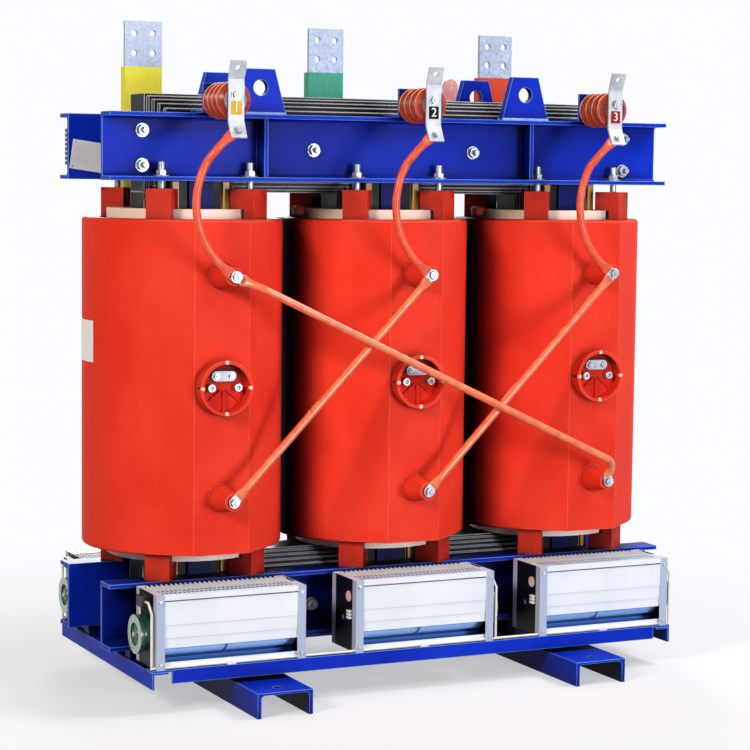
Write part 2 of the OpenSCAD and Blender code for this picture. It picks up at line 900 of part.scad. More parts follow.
// Long delta bar: joggled forwards past the two others
module delta_bar_long() {
    hi = [-phase_pitch, -boss_tip_y - 1.5 * palm_t, term_hi_z];
    lo = [phase_pitch, -boss_tip_y - palm_t / 2, term_lo_z];
    run = lo - hi;
    along = run / norm(run);
    slope = atan2(-run[2], run[0]);
    out = [0, -delta_joggle, 0];
    near_hi = hi + palm_start * along;
    near_lo = lo - palm_start * along;
    far_hi = hi + delta_joggle_l * along + out;
    far_lo = lo - delta_joggle_l * along + out;
    color("orangered")
        union() {
            translate(hi)
                rotate([0, slope, 0])
                    delta_palm(palm_w / 2);
            translate(lo)
                rotate([0, slope + 180, 0])
                    delta_palm(palm_w / 2);
            round_bar(near_hi, far_hi, delta_r);
            round_bar(far_hi, far_lo, delta_r);
            round_bar(far_lo, near_lo, delta_r);
            for (q = [near_hi, far_hi, far_lo, near_lo])
                translate(q)
                    sphere(r = delta_r + curve_gap, $fn = 24);
        }
}

// Side view of a low-voltage bar: out from the coil over the casting, then up, with a packet behind it
module lv_bar_section() {
    foot_z = lv_lead_z + lv_bar_t + lv_bend_r;
    union() {
        translate([lv_root_y, lv_lead_z])
            square([lv_back - lv_bend_r - lv_root_y, lv_bar_t]);
        translate([lv_back, foot_z])
            square([lv_bar_t, lv_bar_top - foot_z]);
        translate([lv_back + lv_bar_t / 2, foot_z])
            square([lv_bar_t / 2 + lv_pack_t, lv_bar_top - lv_bare_l - foot_z]);
        intersection() {
            translate([lv_back - lv_bend_r, foot_z])
                difference() {
                    circle(r = lv_bend_r + lv_bar_t);
                    circle(r = lv_bend_r);
                }
            translate([lv_back - lv_bend_r, lv_lead_z])
                square(lv_bend_r + lv_bar_t);
        }
        translate([lv_root_y, lv_z1])
            square([lv_riser_l, lv_lead_z - lv_z1 + lv_bar_t / 2]);
    }
}

// Low-voltage bar with four connection holes near its top
module lv_bar(x) {
    hole_z = lv_bar_top - lv_hole_edge - lv_hole_pitch / 2;
    color("silver")
        difference() {
            translate([x - lv_bar_w / 2, 0, 0])
                rotate([90, 0, 90])
                    linear_extrude(lv_bar_w)
                        lv_bar_section();
            for (sx = sides, sz = sides)
                translate([x + sx * lv_hole_pitch / 2, lv_back - cut, hole_z + sz * lv_hole_pitch / 2])
                    rotate([-90, 0, 0])
                        cylinder(d = lv_hole_d, h = lv_bar_t + 2 * cut);
        }
}

module lv_bar_a() {
    lv_bar(-phase_pitch);
}

module lv_bar_b() {
    lv_bar(0);
}

module lv_bar_c() {
    lv_bar(phase_pitch);
}

// Neutral bar: an upright strap with a rounded top, on its own standoff
module neutral_bar() {
    rise = top_clamp_top + neutral_over - standoff_z + neutral_w / 2;
    color("lightpink")
        translate([neutral_x, neutral_back + lv_bar_t, standoff_z - neutral_w])
            rotate([90, 0, 0])
                linear_extrude(lv_bar_t)
                    union() {
                        translate([-neutral_w / 2, 0])
                            square([neutral_w, rise]);
                        translate([0, rise])
                            circle(d = neutral_w);
                    }
}

// Standoff from the rear clamp's web to the face of an upright bar
module lv_standoff(x, face_y) {
    base_y = clamp_y + clamp_web;
    translate([x, base_y, standoff_z])
        rotate([-90, 0, 0])
            rotate_extrude()
                shed_profile(0.6 * standoff_r, standoff_r, face_y - base_y, standoff_sheds, shed_edge_r);
}

module lv_standoffs() {
    color("firebrick") {
        for (p = phases)
            lv_standoff(p * phase_pitch, lv_back);
        lv_standoff(neutral_x, neutral_back);
    }
}

// Terminal strip behind the rear clamp's left end: a rail with a row of clamp bodies
module terminal_strip() {
    strip_l = 96;
    strip_d = 42;
    strip_w = 46;
    poles = 8;
    color("black")
        translate([-clamp_half_l + 4, clamp_y + clamp_web, top_clamp_z + clamp_h / 2 - strip_l / 2])
            union() {
                cube([strip_w, strip_d / 3, strip_l]);
                for (i = [0 : poles - 1])
                    translate([4, 0, 3 + i * (strip_l - 6) / poles])
                        cube([strip_w - 8, strip_d, (strip_l - 6) / poles - 2]);
            }
}

// Volute section, in the plane across the rotor: a round scroll that opens into the outlet duct
module volute_section(r, top) {
    union() {
        translate([rotor_y, rotor_z])
            circle(r = r);
        translate([rotor_y, rotor_z])
            square([r, top - rotor_z]);
    }
}

// Angle post at a fan's corner, from the base frame to the fan's top
module fan_post() {
    union() {
        cube([post_w, fan_sheet, fan_h]);
        cube([fan_sheet, post_w, fan_h]);
    }
}

// One end of a fan: sheet, two posts and the rotor's bearing
module fan_end() {
    difference() {
        union() {
            translate([-fan_l / 2, 0, 0])
                cube([fan_sheet, fan_d, fan_h]);
            translate([-fan_l / 2, 0, 0])
                fan_post();
            translate([-fan_l / 2, fan_d, 0])
                mirror([0, 1, 0])
                    fan_post();
            translate([-fan_l / 2, rotor_y, rotor_z])
                rotate([0, 90, 0])
                    cylinder(r = bearing_r, h = bearing_l);
        }
        translate([-fan_l / 2 - cut, rotor_y, rotor_z])
            rotate([0, 90, 0])
                cylinder(r = shaft_r + shaft_clear, h = bearing_l + 2 * cut);
        translate([-fan_l / 2 - cut, fan_sheet, -cut])
            cube([fan_sheet + 2 * cut, lip_y - fan_sheet, cable_slot_h + cut]);
    }
}

// Front sheet of a fan: three folds, each set back from the one above it
module front_sheet_section() {
    front_z0 = lip_h + window_h;
    sheet_top = fan_h - strip_h - strip_gap;
    translate([fan_sheet, fold_high])
        square([fan_sheet, sheet_top - fold_high]);
    translate([fan_sheet + fold_step, fold_low])
        square([fan_sheet, fold_high + fan_sheet - fold_low]);
    translate([fan_sheet + 2 * fold_step, front_z0])
        square([fan_sheet, fold_low + fan_sheet - front_z0]);
}

// Bent sheets of a fan: volute and rear wall, front sheet, top sheet with a strip and a tongue, bottom tray
module fan_sheets_section() {
    union() {
        difference() {
            volute_section(volute_r + fan_sheet, fan_h - grille_h);
            volute_section(volute_r, fan_h);
            square([rotor_y, fan_h]);
        }
        front_sheet_section();
        translate([0, fan_h - fan_sheet])
            square([outlet_y, fan_sheet]);
        translate([0, fan_h - strip_h])
            square([fan_sheet, strip_h]);
        translate([outlet_y - fan_sheet, fan_h - tongue_h])
            square([fan_sheet, tongue_h]);
        translate([lip_y, 0])
            square([rotor_y - lip_y, fan_sheet]);
        translate([lip_y, 0])
            square([fan_sheet, lip_h]);
        translate([rotor_y - fan_sheet, 0])
            square([fan_sheet, rotor_z - volute_r]);
    }
}

// Fan casing: bent sheets between two ends, open at the front below and through the toothed outlet at the top
module fan_housing() {
    union() {
        fan_end();
        mirror([1, 0, 0])
            fan_end();
        translate([-fan_l / 2, 0, 0])
            rotate([90, 0, 90])
                linear_extrude(fan_l)
                    fan_sheets_section();
        for (i = [1 : grille_teeth])
            translate([-fan_l / 2 + i * fan_l / (grille_teeth + 1) - grille_t / 2, outlet_y - fan_sheet,
                    fan_h - grille_h])
                cube([grille_t, fan_d - outlet_y + fan_sheet, grille_h]);
    }
}

// Places a fan piece at one phase: fans face outwards, front or rear
module at_fan(phase, side) {
    translate([phase * phase_pitch, side * frame_half_d, frame_top])
        rotate(side > 0 ? 180 : 0)
            children();
}

// Every fan but the front left one has its motor on the right, seen from outside
function motor_side(phase, side) = side < 0 && phase < 0 ? 0 : 1;

module fan_housings_front() {
    color("gainsboro")
        for (p = phases)
            at_fan(p, -1)
                fan_housing();
}

module fan_housings_rear() {
    color("gainsboro")
        for (p = phases)
            at_fan(p, 1)
                fan_housing();
}

// Where a fan's motor starts, from the fan's middle
motor_start = fan_l / 2;

// Fan motors: a round body on the end plate, a ring at the outer end and a cable gland on top
module fan_motors() {
    color("darkgreen")
        for (p = phases, s = sides)
            at_fan(p, s)
                mirror([1 - motor_side(p, s), 0, 0])
                    translate([motor_start, rotor_y, rotor_z])
                        union() {
                            rotate([0, 90, 0])
                                difference() {
                                    union() {
                                        cylinder(r = motor_body_r, h = motor_l);
                                        translate([0, 0, motor_l - 2 * motor_flange_t])
                                            cylinder(r = motor_r, h = 2 * motor_flange_t);
                                    }
                                    translate([0, 0, motor_l - motor_flange_t])
                                        cylinder(r = 0.6 * motor_r, h = motor_flange_t + cut);
                                }
                            translate([gland_x, 0, motor_body_r - gland_r])
                                cylinder(r = gland_r, h = gland_r + gland_l);
                        }
}

// Terminal boxes: one on the end plate over every motor
module fan_terminal_boxes() {
    color("black")
        for (p = phases, s = sides)
            at_fan(p, s)
                mirror([1 - motor_side(p, s), 0, 0])
                    translate([motor_start, box_y, box_z])
                        cube([box_w, box_d, box_h]);
}

// Riser of a fan cable at x: up from the run, then back into the front of a terminal box
module cable_riser(x) {
    high_z = box_z + box_h / 2;
    low = [x, cable_y, cable_z];
    bend = [x, cable_y, high_z - riser_bend];
    knee = [x, cable_y + riser_bend, high_z];
    end = [x, box_y - curve_gap, high_z];
    round_bar(low, bend, cable_d / 2);
    round_bar(bend, knee, cable_d / 2);
    round_bar(knee, end, cable_d / 2);
    for (q = [low, bend, knee])
        translate(q)
            sphere(r = cable_d / 2 + curve_gap, $fn = 16);
}

// Fan cable of one side: a run along the rail with a clip in the middle of every fan, a riser to every
// terminal box and a short lead from each box down to its motor
module fan_cable(side) {
    function motor_end(p, out) = p * phase_pitch + (2 * motor_side(-side * p, side) - 1) * (motor_start + out);
    first = side > 0 ? -phase_pitch : motor_end(-1, riser_x);
    last = motor_end(1, riser_x);
    lead_z0 = rotor_z + motor_body_r + gland_l + curve_gap;
    lead_z1 = box_z - curve_gap;
    color("ivory")
        at_fan(0, side) {
            union() {
                round_bar([first, cable_y, cable_z], [last, cable_y, cable_z], cable_d / 2);
                for (p = phases)
                    translate([p * phase_pitch - clip_w / 2, fan_sheet, 0])
                        cube([clip_w, lip_y - fan_sheet, clip_h]);
                for (p = phases)
                    cable_riser(motor_end(p, riser_x));
            }
            for (p = phases)
                translate([motor_end(p, gland_x), rotor_y, lead_z0])
                    cylinder(d = cable_d, h = lead_z1 - lead_z0);
        }
}

module fan_cable_front() {
    fan_cable(-1);
}

module fan_cable_rear() {
    fan_cable(1);
}

// Fan rotor: slanted blades between discs on one shaft
module rotor(phase, side) {
    shaft_half_l = motor_start - cut;
    color("lightsteelblue")
        at_fan(phase, side)
            translate([0, rotor_y, rotor_z])
                rotate([0, 90, 0])
                    union() {
                        translate([0, 0, -shaft_half_l])
                            cylinder(r = shaft_r, h = 2 * shaft_half_l);
                        for (z = [-rotor_half_l, -rotor_disc_t / 2, rotor_half_l - rotor_disc_t])
                            translate([0, 0, z])
                                cylinder(r = rotor_r, h = rotor_disc_t);
                        translate([0, 0, -rotor_half_l])
                            linear_extrude(2 * rotor_half_l)
                                for (i = [0 : rotor_blades - 1])
                                    rotate(i * 360 / rotor_blades)
                                        translate([rotor_r - blade_l, 0])
                                            rotate(blade_slant)
                                                square([blade_l, blade_t]);
                    }
}

module rotor_front_a() {
    rotor(-1, -1);
}

module rotor_front_b() {
    rotor(0, -1);
}

module rotor_front_c() {
    rotor(1, -1);
}

module rotor_rear_a() {
    rotor(-1, 1);
}

module rotor_rear_b() {
    rotor(0, 1);
}

module rotor_rear_c() {
    rotor(1, 1);
}

foot_left();
foot_right();
front_rail();
rear_rail();
left_rail();
right_rail();
base_packers();
bottom_clamp_front();
bottom_clamp_rear();
top_clamp_front();
top_clamp_rear();
lifting_lugs();
core_bottom_yoke();
core_top_yoke();
core_limbs();
tie_plates();
limb_wedges();
lv_coil_a();
lv_coil_b();
lv_coil_c();
hv_coil_a();
hv_coil_b();
hv_coil_c();
tap_links();
lower_support_blocks();
upper_support_blocks();
pressure_screws();
insulator_brackets();
hv_insulators();
hv_terminal_tabs();
hv_leads();
delta_bar_long();
delta_bar_left();
delta_bar_right();
lv_bar_a();
lv_bar_b();
lv_bar_c();
neutral_bar();
lv_standoffs();
terminal_strip();
fan_housings_front();
fan_housings_rear();
fan_motors();
fan_terminal_boxes();
fan_cable_front();
fan_cable_rear();
rotor_front_a();
rotor_front_b();
rotor_front_c();
rotor_rear_a();
rotor_rear_b();
rotor_rear_c();
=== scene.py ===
import math

import bmesh
import bpy
from mathutils import Matrix, Vector


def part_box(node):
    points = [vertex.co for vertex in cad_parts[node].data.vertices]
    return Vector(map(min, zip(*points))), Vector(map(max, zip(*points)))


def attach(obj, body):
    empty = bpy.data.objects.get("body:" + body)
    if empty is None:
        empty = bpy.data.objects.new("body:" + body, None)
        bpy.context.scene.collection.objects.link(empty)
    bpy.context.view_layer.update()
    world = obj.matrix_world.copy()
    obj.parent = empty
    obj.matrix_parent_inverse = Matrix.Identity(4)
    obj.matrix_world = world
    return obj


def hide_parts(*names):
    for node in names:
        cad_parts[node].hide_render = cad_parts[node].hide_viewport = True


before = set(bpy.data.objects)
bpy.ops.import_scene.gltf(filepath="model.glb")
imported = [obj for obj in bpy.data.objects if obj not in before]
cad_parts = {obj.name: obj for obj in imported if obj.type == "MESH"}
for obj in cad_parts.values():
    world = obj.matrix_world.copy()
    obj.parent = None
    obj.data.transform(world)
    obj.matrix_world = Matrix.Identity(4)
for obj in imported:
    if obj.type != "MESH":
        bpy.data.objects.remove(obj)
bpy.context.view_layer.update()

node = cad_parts


# Studio: a pale matt floor that fades to white away from the object, and a white surround for the eye
# and for reflections. Soft lamps stand at the left (warm), low in front (cool), high at the right and
# behind, and a long lens looks from the photograph's place.
def linear(code):
    parts = [int(code[i:i + 2], 16) / 255 for i in (1, 3, 5)]
    return tuple(p / 12.92 if p <= 0.04045 else ((p + 0.055) / 1.055) ** 2.4 for p in parts) + (1.0,)


def add(tree, kind, inputs=None, **settings):
    """Adds one node; each input is a value or another node's output."""
    made = tree.nodes.new(kind)
    for key, value in settings.items():
        setattr(made, key, value)
    for key, value in (inputs or {}).items():
        socket = made.inputs[key]
        if isinstance(value, bpy.types.NodeSocket):
            tree.links.new(value, socket)
        else:
            socket.default_value = value
    return made


def seen(tree):
    """Is 1 for what the eye, a reflection or glass shows, and 0 for light that falls on the object."""
    path = add(tree, "ShaderNodeLightPath")
    eye = add(tree, "ShaderNodeMath", {0: path.outputs["Is Camera Ray"], 1: path.outputs["Is Glossy Ray"]},
              operation="MAXIMUM")
    return add(tree, "ShaderNodeMath", {0: eye.outputs[0], 1: path.outputs["Is Transmission Ray"]},
               operation="MAXIMUM").outputs[0]


scene = bpy.context.scene
scene.view_settings.view_transform = "Standard"
scene.world = bpy.data.worlds.new("white surround")
scene.world.use_nodes = True
sky = scene.world.node_tree
sky.nodes.clear()
backdrop = linear("#FBFCFF")
soft = add(sky, "ShaderNodeBackground", {"Color": linear("#EEF2FF"), "Strength": 0.09})
white = add(sky, "ShaderNodeBackground", {"Color": backdrop, "Strength": 1.0})
both = add(sky, "ShaderNodeMixShader", {0: seen(sky), 1: soft.outputs[0], 2: white.outputs[0]})
add(sky, "ShaderNodeOutputWorld", {"Surface": both.outputs[0]})

floor_half, fade_start, fade_end, fade_least = 30.0, 0.7, 2.2, 0.5
floor_mesh = bpy.data.meshes.new("floor")
floor_mesh.from_pydata([(-floor_half, -floor_half, 0), (floor_half, -floor_half, 0),
                        (floor_half, floor_half, 0), (-floor_half, floor_half, 0)], [], [(0, 1, 2, 3)])
floor = bpy.data.objects.new("floor", floor_mesh)
scene.collection.objects.link(floor)
paper = bpy.data.materials.new("matt paper floor")
paper.use_nodes = True
tree = paper.node_tree
tree.nodes.clear()
where = add(tree, "ShaderNodeTexCoord").outputs["Object"]
reach = add(tree, "ShaderNodeVectorMath", {0: where}, operation="LENGTH")
fade = add(tree, "ShaderNodeMapRange", {"Value": reach.outputs["Value"], "From Min": fade_start,
                                        "From Max": fade_end, "To Min": fade_least},
           interpolation_type="SMOOTHSTEP")
eye = seen(tree)
fade = add(tree, "ShaderNodeMath", {0: fade.outputs[0], 1: eye}, operation="MULTIPLY")
tone = add(tree, "ShaderNodeMix", {0: eye, 6: linear("#85888E"), 7: linear("#F6F8FC")}, data_type="RGBA")
matt = add(tree, "ShaderNodeBsdfDiffuse", {"Color": tone.outputs[2]})
glow = add(tree, "ShaderNodeEmission", {"Color": backdrop, "Strength": 1.0})
mixed = add(tree, "ShaderNodeMixShader", {0: fade.outputs[0], 1: matt.outputs[0], 2: glow.outputs[0]})
add(tree, "ShaderNodeOutputMaterial", {"Surface": mixed.outputs[0]})
floor.data.materials.append(paper)

aim = Vector((0, 0, 0.8))
for name, place, watts, width, cast in (("key lamp", (-5.1, -2.95, 3.2), 248, 1.4, "#FFF2E0"),
                                        ("fill lamp", (1.35, -5.75, 1.0), 188, 1.6, "#F3F5FF"),
                                        ("top lamp", (2.9, -1.2, 4.2), 138, 1.6, "#FFFFFF"),
                                        ("rear lamp", (1.8, 5.8, 2.7), 260, 2.5, "#FFFFFF")):
    lamp = bpy.data.lights.new(name, "AREA")
    lamp.energy = watts
    lamp.size = width
    lamp.color = linear(cast)[:3]
    holder = bpy.data.objects.new(name, lamp)
    holder.location = place
    holder.rotation_euler = (aim - Vector(place)).to_track_quat("-Z", "Y").to_euler()
    scene.collection.objects.link(holder)

bearing, tilt, roll = math.radians(-25.7997), math.radians(5.1924), math.radians(0.6868)
back = Vector((math.sin(bearing) * math.cos(tilt), -math.cos(bearing) * math.cos(tilt), math.sin(tilt)))
right = Vector((math.cos(bearing), math.sin(bearing), 0))
up = back.cross(right)
lens = bpy.data.cameras.new("long lens")
lens.sensor_width = 36
lens.lens = 107.776
lens.clip_end = 100
camera = bpy.data.objects.new("camera", lens)
axes = (math.cos(roll) * right + math.sin(roll) * up, math.cos(roll) * up - math.sin(roll) * right, back)
camera_place = (-2.47792, -5.16240, 1.26521)
rows = [[axis[r] for axis in axes] + [camera_place[r]] for r in range(3)]
camera.matrix_world = Matrix(rows + [[0, 0, 0, 1]])
scene.collection.objects.link(camera)
scene.camera = camera


# Base frame, feet, clamps and lugs: rolled steel channel, angle and plate, welded and bolted, then
# sprayed with one coat of gloss enamel; its pale edges are a painted highlight and its dark hollows a painted
# shade.
def overpaint(tree, shader, share, colour, keeps=False):
    """Lays a colour over a finish; share is how much it covers or, with keeps, how much it leaves."""
    base = shader.inputs["Base Color"]
    under = base.links[0].from_socket
    over = colour if isinstance(colour, bpy.types.NodeSocket) else linear(colour)
    mixed = add(tree, "ShaderNodeMix", {0: share, 6: over if keeps else under, 7: under if keeps else over},
                data_type="RGBA")
    tree.links.new(mixed.outputs[2], base)


def surface(name, dark, light, patch, rough, grain, depth, edge, sockets=None, edge_tint=None, hollow=None):
    """A finish with cloudy patches between two colours, a fine grain of some depth and rounded edges,
    all in millimetres; an edge tint is a painted highlight, or a painted shade where it is darker, and a
    colour laid in hollows within a reach is a painted shade."""
    made = bpy.data.materials.new(name)
    made.use_nodes = True
    tree = made.node_tree
    tree.nodes.clear()
    where = add(tree, "ShaderNodeTexCoord").outputs["Object"]
    cloud = add(tree, "ShaderNodeTexNoise", {"Vector": where, "Scale": 1000 / patch, "Detail": 4.0,
                                             "Roughness": 0.6})
    clouded = {"Value": cloud.outputs["Fac"], "From Min": 0.3, "From Max": 0.7}
    spread = add(tree, "ShaderNodeMapRange", clouded)
    tint = add(tree, "ShaderNodeMix", {0: spread.outputs[0], 6: linear(dark), 7: linear(light)},
               data_type="RGBA")
    gloss = add(tree, "ShaderNodeMapRange", {**clouded, "To Min": rough[0], "To Max": rough[1]})
    grit = add(tree, "ShaderNodeTexNoise", {"Vector": where, "Scale": 1000 / grain, "Detail": 2.0})
    corner = add(tree, "ShaderNodeBevel", {"Radius": edge / 1000}, samples=6)
    bump = add(tree, "ShaderNodeBump", {"Height": grit.outputs["Fac"], "Strength": 1.0,
                                        "Distance": depth / 1000, "Normal": corner.outputs[0]})
    shader = add(tree, "ShaderNodeBsdfPrincipled", {
        "Base Color": tint.outputs[2], "Roughness": gloss.outputs[0], "Normal": bump.outputs[0],
        **(sockets or {})})
    # Painted highlight on the edges: the tint is laid where the bevelled normal bends away from the true one.
    if edge_tint:
        flat = add(tree, "ShaderNodeNewGeometry").outputs["Normal"]
        bend = add(tree, "ShaderNodeVectorMath", {0: corner.outputs[0], 1: flat}, operation="DOT_PRODUCT")
        painted_edge_light = add(tree, "ShaderNodeMapRange", {"Value": bend.outputs["Value"], "From Min": 0.992,
                                                "From Max": 0.88})
        overpaint(tree, shader, painted_edge_light.outputs[0], edge_tint)
    # Painted shade in the hollows: the dark colour is laid where ambient occlusion finds the surface closed in.
    if hollow:
        shade, within = hollow
        open_sky = add(tree, "ShaderNodeAmbientOcclusion", {"Distance": within / 1000}, samples=8)
        unshaded_share = add(tree, "ShaderNodeMapRange", {"Value": open_sky.outputs["AO"], "From Min": 0.28,
                                                 "From Max": 0.78})
        overpaint(tree, shader, unshaded_share.outputs[0], shade, keeps=True)
    add(tree, "ShaderNodeOutputMaterial", {"Surface": shader.outputs[0]})
    return made, tree, shader, where


def paint_node(names, made):
    for name in names:
        mesh = node[name].data
        mesh.materials.clear()
        mesh.materials.append(made)


# The enamel carries a painted highlight on its edges and a painted shade in its hollows.
blue_enamel = surface("sprayed blue enamel", "#0426B4", "#0835D0", patch=180, rough=(0.38, 0.48), grain=3.5,
                      depth=0.05, edge=3.2, sockets={"IOR": 1.5, "Specular IOR Level": 0.08},
                      edge_tint="#8DBEF4", hollow=("#03051C", 160))[0]
paint_node(["foot_left", "foot_right", "front_rail", "rear_rail", "left_rail", "right_rail", "base_packers",
            "bottom_clamp_front", "bottom_clamp_rear", "top_clamp_front", "top_clamp_rear", "lifting_lugs",
            "tie_plates", "insulator_brackets"], blue_enamel)


# Lug welds: a fillet bead of weld metal along the foot of every lug, on both of its faces. It is laid
# by hand in ripples and lies under the same enamel, which is thin and pale on them.
def piece(name, mesh, slot, *finishes):
    for finish in finishes:
        mesh.materials.append(finish)
    made = bpy.data.objects.new(name, mesh)
    scene.collection.objects.link(made)
    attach(made, "root")
    return made


def finished(mesh, name):
    made = bpy.data.meshes.new(name)
    mesh.to_mesh(made)
    mesh.free()
    return made


def loft(path, sizes, normals, sides=20):
    """Skins rings along a path; each ring has its half width, half thickness and flat normal."""
    mesh = bmesh.new()
    rings = []
    for i, centre in enumerate(path):
        ahead = (path[min(i + 1, len(path) - 1)] - path[max(i - 1, 0)]).normalized()
        wide = ahead.cross(normals[i]).normalized()
        thick = wide.cross(ahead).normalized()
        a, b = sizes[i]
        # A round ring is a circle, and the flatter a ring is, the squarer are its corners.
        power = 1.0 if abs(a - b) < 1e-6 else 1.0 - 0.5 * min(1.0, (a - b) / a)
        ring = []
        for k in range(sides):
            c, s = math.cos(2 * math.pi * k / sides), math.sin(2 * math.pi * k / sides)
            ring.append(mesh.verts.new(centre + wide * a * math.copysign(abs(c) ** power, c)
                                       + thick * b * math.copysign(abs(s) ** power, s)))
        rings.append(ring)
    for one, two in zip(rings, rings[1:]):
        for k in range(sides):
            mesh.faces.new((one[k], one[(k + 1) % sides], two[(k + 1) % sides], two[k]))
    mesh.faces.new(rings[0][::-1])
    mesh.faces.new(rings[-1])
    bmesh.ops.recalc_face_normals(mesh, faces=mesh.faces)
    for face in mesh.faces:
        face.smooth = len(face.verts) == 4
    return finished(mesh, "loft")


def straight(start, end, steps):
    return [start.lerp(end, i / steps) for i in range(steps + 1)]


def joined(meshes):
    whole = bmesh.new()
    for mesh in meshes:
        whole.from_mesh(mesh)
        bpy.data.meshes.remove(mesh)
    return finished(whole, "joined")


lug_low, lug_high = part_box("lifting_lugs")
lug_foot_half, lug_t, bead_r, bead_lift = 0.067, 0.020, 0.0055, 0.001
ripple_l, ripple_share, bead_steps, bead_sides = 0.005, 0.12, 80, 12
beads = []
for x in (lug_low.x + lug_foot_half, lug_high.x - lug_foot_half):
    for y in (lug_low.y, lug_low.y + lug_t, lug_high.y - lug_t, lug_high.y):
        path = straight(Vector((x - lug_foot_half, y, lug_low.z + bead_lift)),
                        Vector((x + lug_foot_half, y, lug_low.z + bead_lift)), bead_steps)
        ripple = [bead_r * (1.0 + ripple_share * math.cos(2 * math.pi * (p.x - x) / ripple_l)) for p in path]
        ripple[0] = ripple[-1] = 0.5 * bead_r
        beads.append(loft(path, [(r, r) for r in ripple], [Vector((0, 0, 1))] * len(path), bead_sides))
weld_enamel = surface("enamel over weld", "#5F93DA", "#A9CDF2", patch=9, rough=(0.35, 0.5), grain=1.2,
                      depth=0.08, edge=0.8)[0]
piece("lug_welds", joined(beads), "blue_enamel", weld_enamel)


# Fasteners: zinc-plated hexagon bolts with flat washers and a short end of thread, turned at random as
# a spanner leaves them. The plating is bright, with a light grain.
# The plating carries a painted highlight on its edges and a painted shade in its hollows.
zinc_steel = surface("bright zinc plate", "#8F979F", "#C4CAD0", patch=14, rough=(0.26, 0.4), grain=0.8,
                     depth=0.02, edge=0.5, sockets={"Metallic": 0.7}, edge_tint="#E9EDF0",
                     hollow=("#101216", 9))[0]
paint_node(["pressure_screws"], zinc_steel)


def with_inputs(name, inputs, result):
    """A tree with named inputs: gives the tree, each input's identifier, and the sockets to link from."""
    tree = bpy.data.node_groups.new(name, "GeometryNodeTree")
    keys = {}
    for label, kind in inputs:
        keys[label] = tree.interface.new_socket(name=label, in_out="INPUT",
                                                socket_type="NodeSocket" + kind).identifier
    tree.interface.new_socket(name=result, in_out="OUTPUT", socket_type="NodeSocketGeometry")
    return tree, keys, add(tree, "NodeGroupInput").outputs


def planted(tree, given, part, result, turn=None):
    """Ends a tree: sets the part on every spot, makes the copies real and coats them."""
    copies = {"Points": given["Spots"], "Instance": part}
    if turn is not None:
        copies["Rotation"] = turn
    many = add(tree, "GeometryNodeInstanceOnPoints", copies)
    real = add(tree, "GeometryNodeRealizeInstances", {"Geometry": many.outputs["Instances"]})
    coated = add(tree, "GeometryNodeSetMaterial", {"Geometry": real.outputs["Geometry"],
                                                   "Material": given["Finish"]})
    add(tree, "NodeGroupOutput", {result: coated.outputs["Geometry"]})


def stood(tree, part, height, base=None):
    """Stands a part that is centred on the origin on a base height."""
    lift = add(tree, "ShaderNodeMath", {0: height, 1: 0.5}, operation="MULTIPLY").outputs[0]
    if base is not None:
        lift = add(tree, "ShaderNodeMath", {0: lift, 1: base}, operation="ADD").outputs[0]
    return add(tree, "GeometryNodeTransform", {
        "Geometry": part.outputs["Mesh"],
        "Translation": add(tree, "ShaderNodeCombineXYZ", {"Z": lift}).outputs[0]})


bolt_tree, bolt_keys, size = with_inputs("hexagon bolt with washer", (
    ("Spots", "Geometry"), ("Across Corners", "Float"), ("Head Height", "Float"), ("Washer Radius", "Float"),
    ("Washer Height", "Float"), ("Thread Radius", "Float"), ("Thread Height", "Float"), ("Axis", "Vector"),
    ("Seed", "Int"), ("Finish", "Material")), "Bolts")
tip_share, sixth_turn = 0.8, 1.05
washer = add(bolt_tree, "GeometryNodeMeshCylinder", {"Vertices": 24, "Radius": size["Washer Radius"],
                                                     "Depth": size["Washer Height"]})
head = add(bolt_tree, "GeometryNodeMeshCylinder", {"Vertices": 6, "Radius": size["Across Corners"],
                                                   "Depth": size["Head Height"]})
tip = add(bolt_tree, "ShaderNodeMath", {0: size["Thread Radius"], 1: tip_share}, operation="MULTIPLY")
thread = add(bolt_tree, "GeometryNodeMeshCone", {
    "Vertices": 16, "Side Segments": 2, "Radius Bottom": size["Thread Radius"],
    "Radius Top": tip.outputs[0], "Depth": size["Thread Height"]})
top = add(bolt_tree, "ShaderNodeMath", {0: size["Head Height"], 1: size["Washer Height"]}, operation="ADD")
raised = add(bolt_tree, "ShaderNodeCombineXYZ", {"Z": top.outputs[0]})
one = add(bolt_tree, "GeometryNodeJoinGeometry")
for part in (stood(bolt_tree, washer, size["Washer Height"]),
             stood(bolt_tree, head, size["Head Height"], size["Washer Height"]),
             add(bolt_tree, "GeometryNodeTransform", {"Geometry": thread.outputs["Mesh"],
                                                      "Translation": raised.outputs[0]})):
    bolt_tree.links.new(part.outputs["Geometry"], one.inputs["Geometry"])
turn = add(bolt_tree, "FunctionNodeRandomValue", {2: 0.0, 3: sixth_turn, "Seed": size["Seed"]},
           data_type="FLOAT")
spin = add(bolt_tree, "FunctionNodeAxisAngleToRotation", {"Axis": (0, 0, 1), "Angle": turn.outputs[1]})
stand = add(bolt_tree, "FunctionNodeAlignRotationToVector", {"Rotation": spin.outputs[0],
                                                             "Vector": size["Axis"]}, axis="Z")
planted(bolt_tree, size, one.outputs["Geometry"], "Bolts", stand.outputs[0])


def made_plain(holder):
    """Turns an object's evaluated shape into a plain mesh and removes the object."""
    scene.collection.objects.link(holder)
    view = bpy.context.evaluated_depsgraph_get()
    mesh = bpy.data.meshes.new_from_object(holder.evaluated_get(view), depsgraph=view)
    bpy.data.objects.remove(holder)
    return mesh


def grown(tree, spots, values):
    seed = bpy.data.meshes.new("spots")
    seed.from_pydata([tuple(s) for s in spots], [], [])
    holder = bpy.data.objects.new("spots", seed)
    modifier = holder.modifiers.new("grow", "NODES")
    modifier.node_group = tree
    for key, value in values.items():
        modifier[key] = value
    return made_plain(holder)


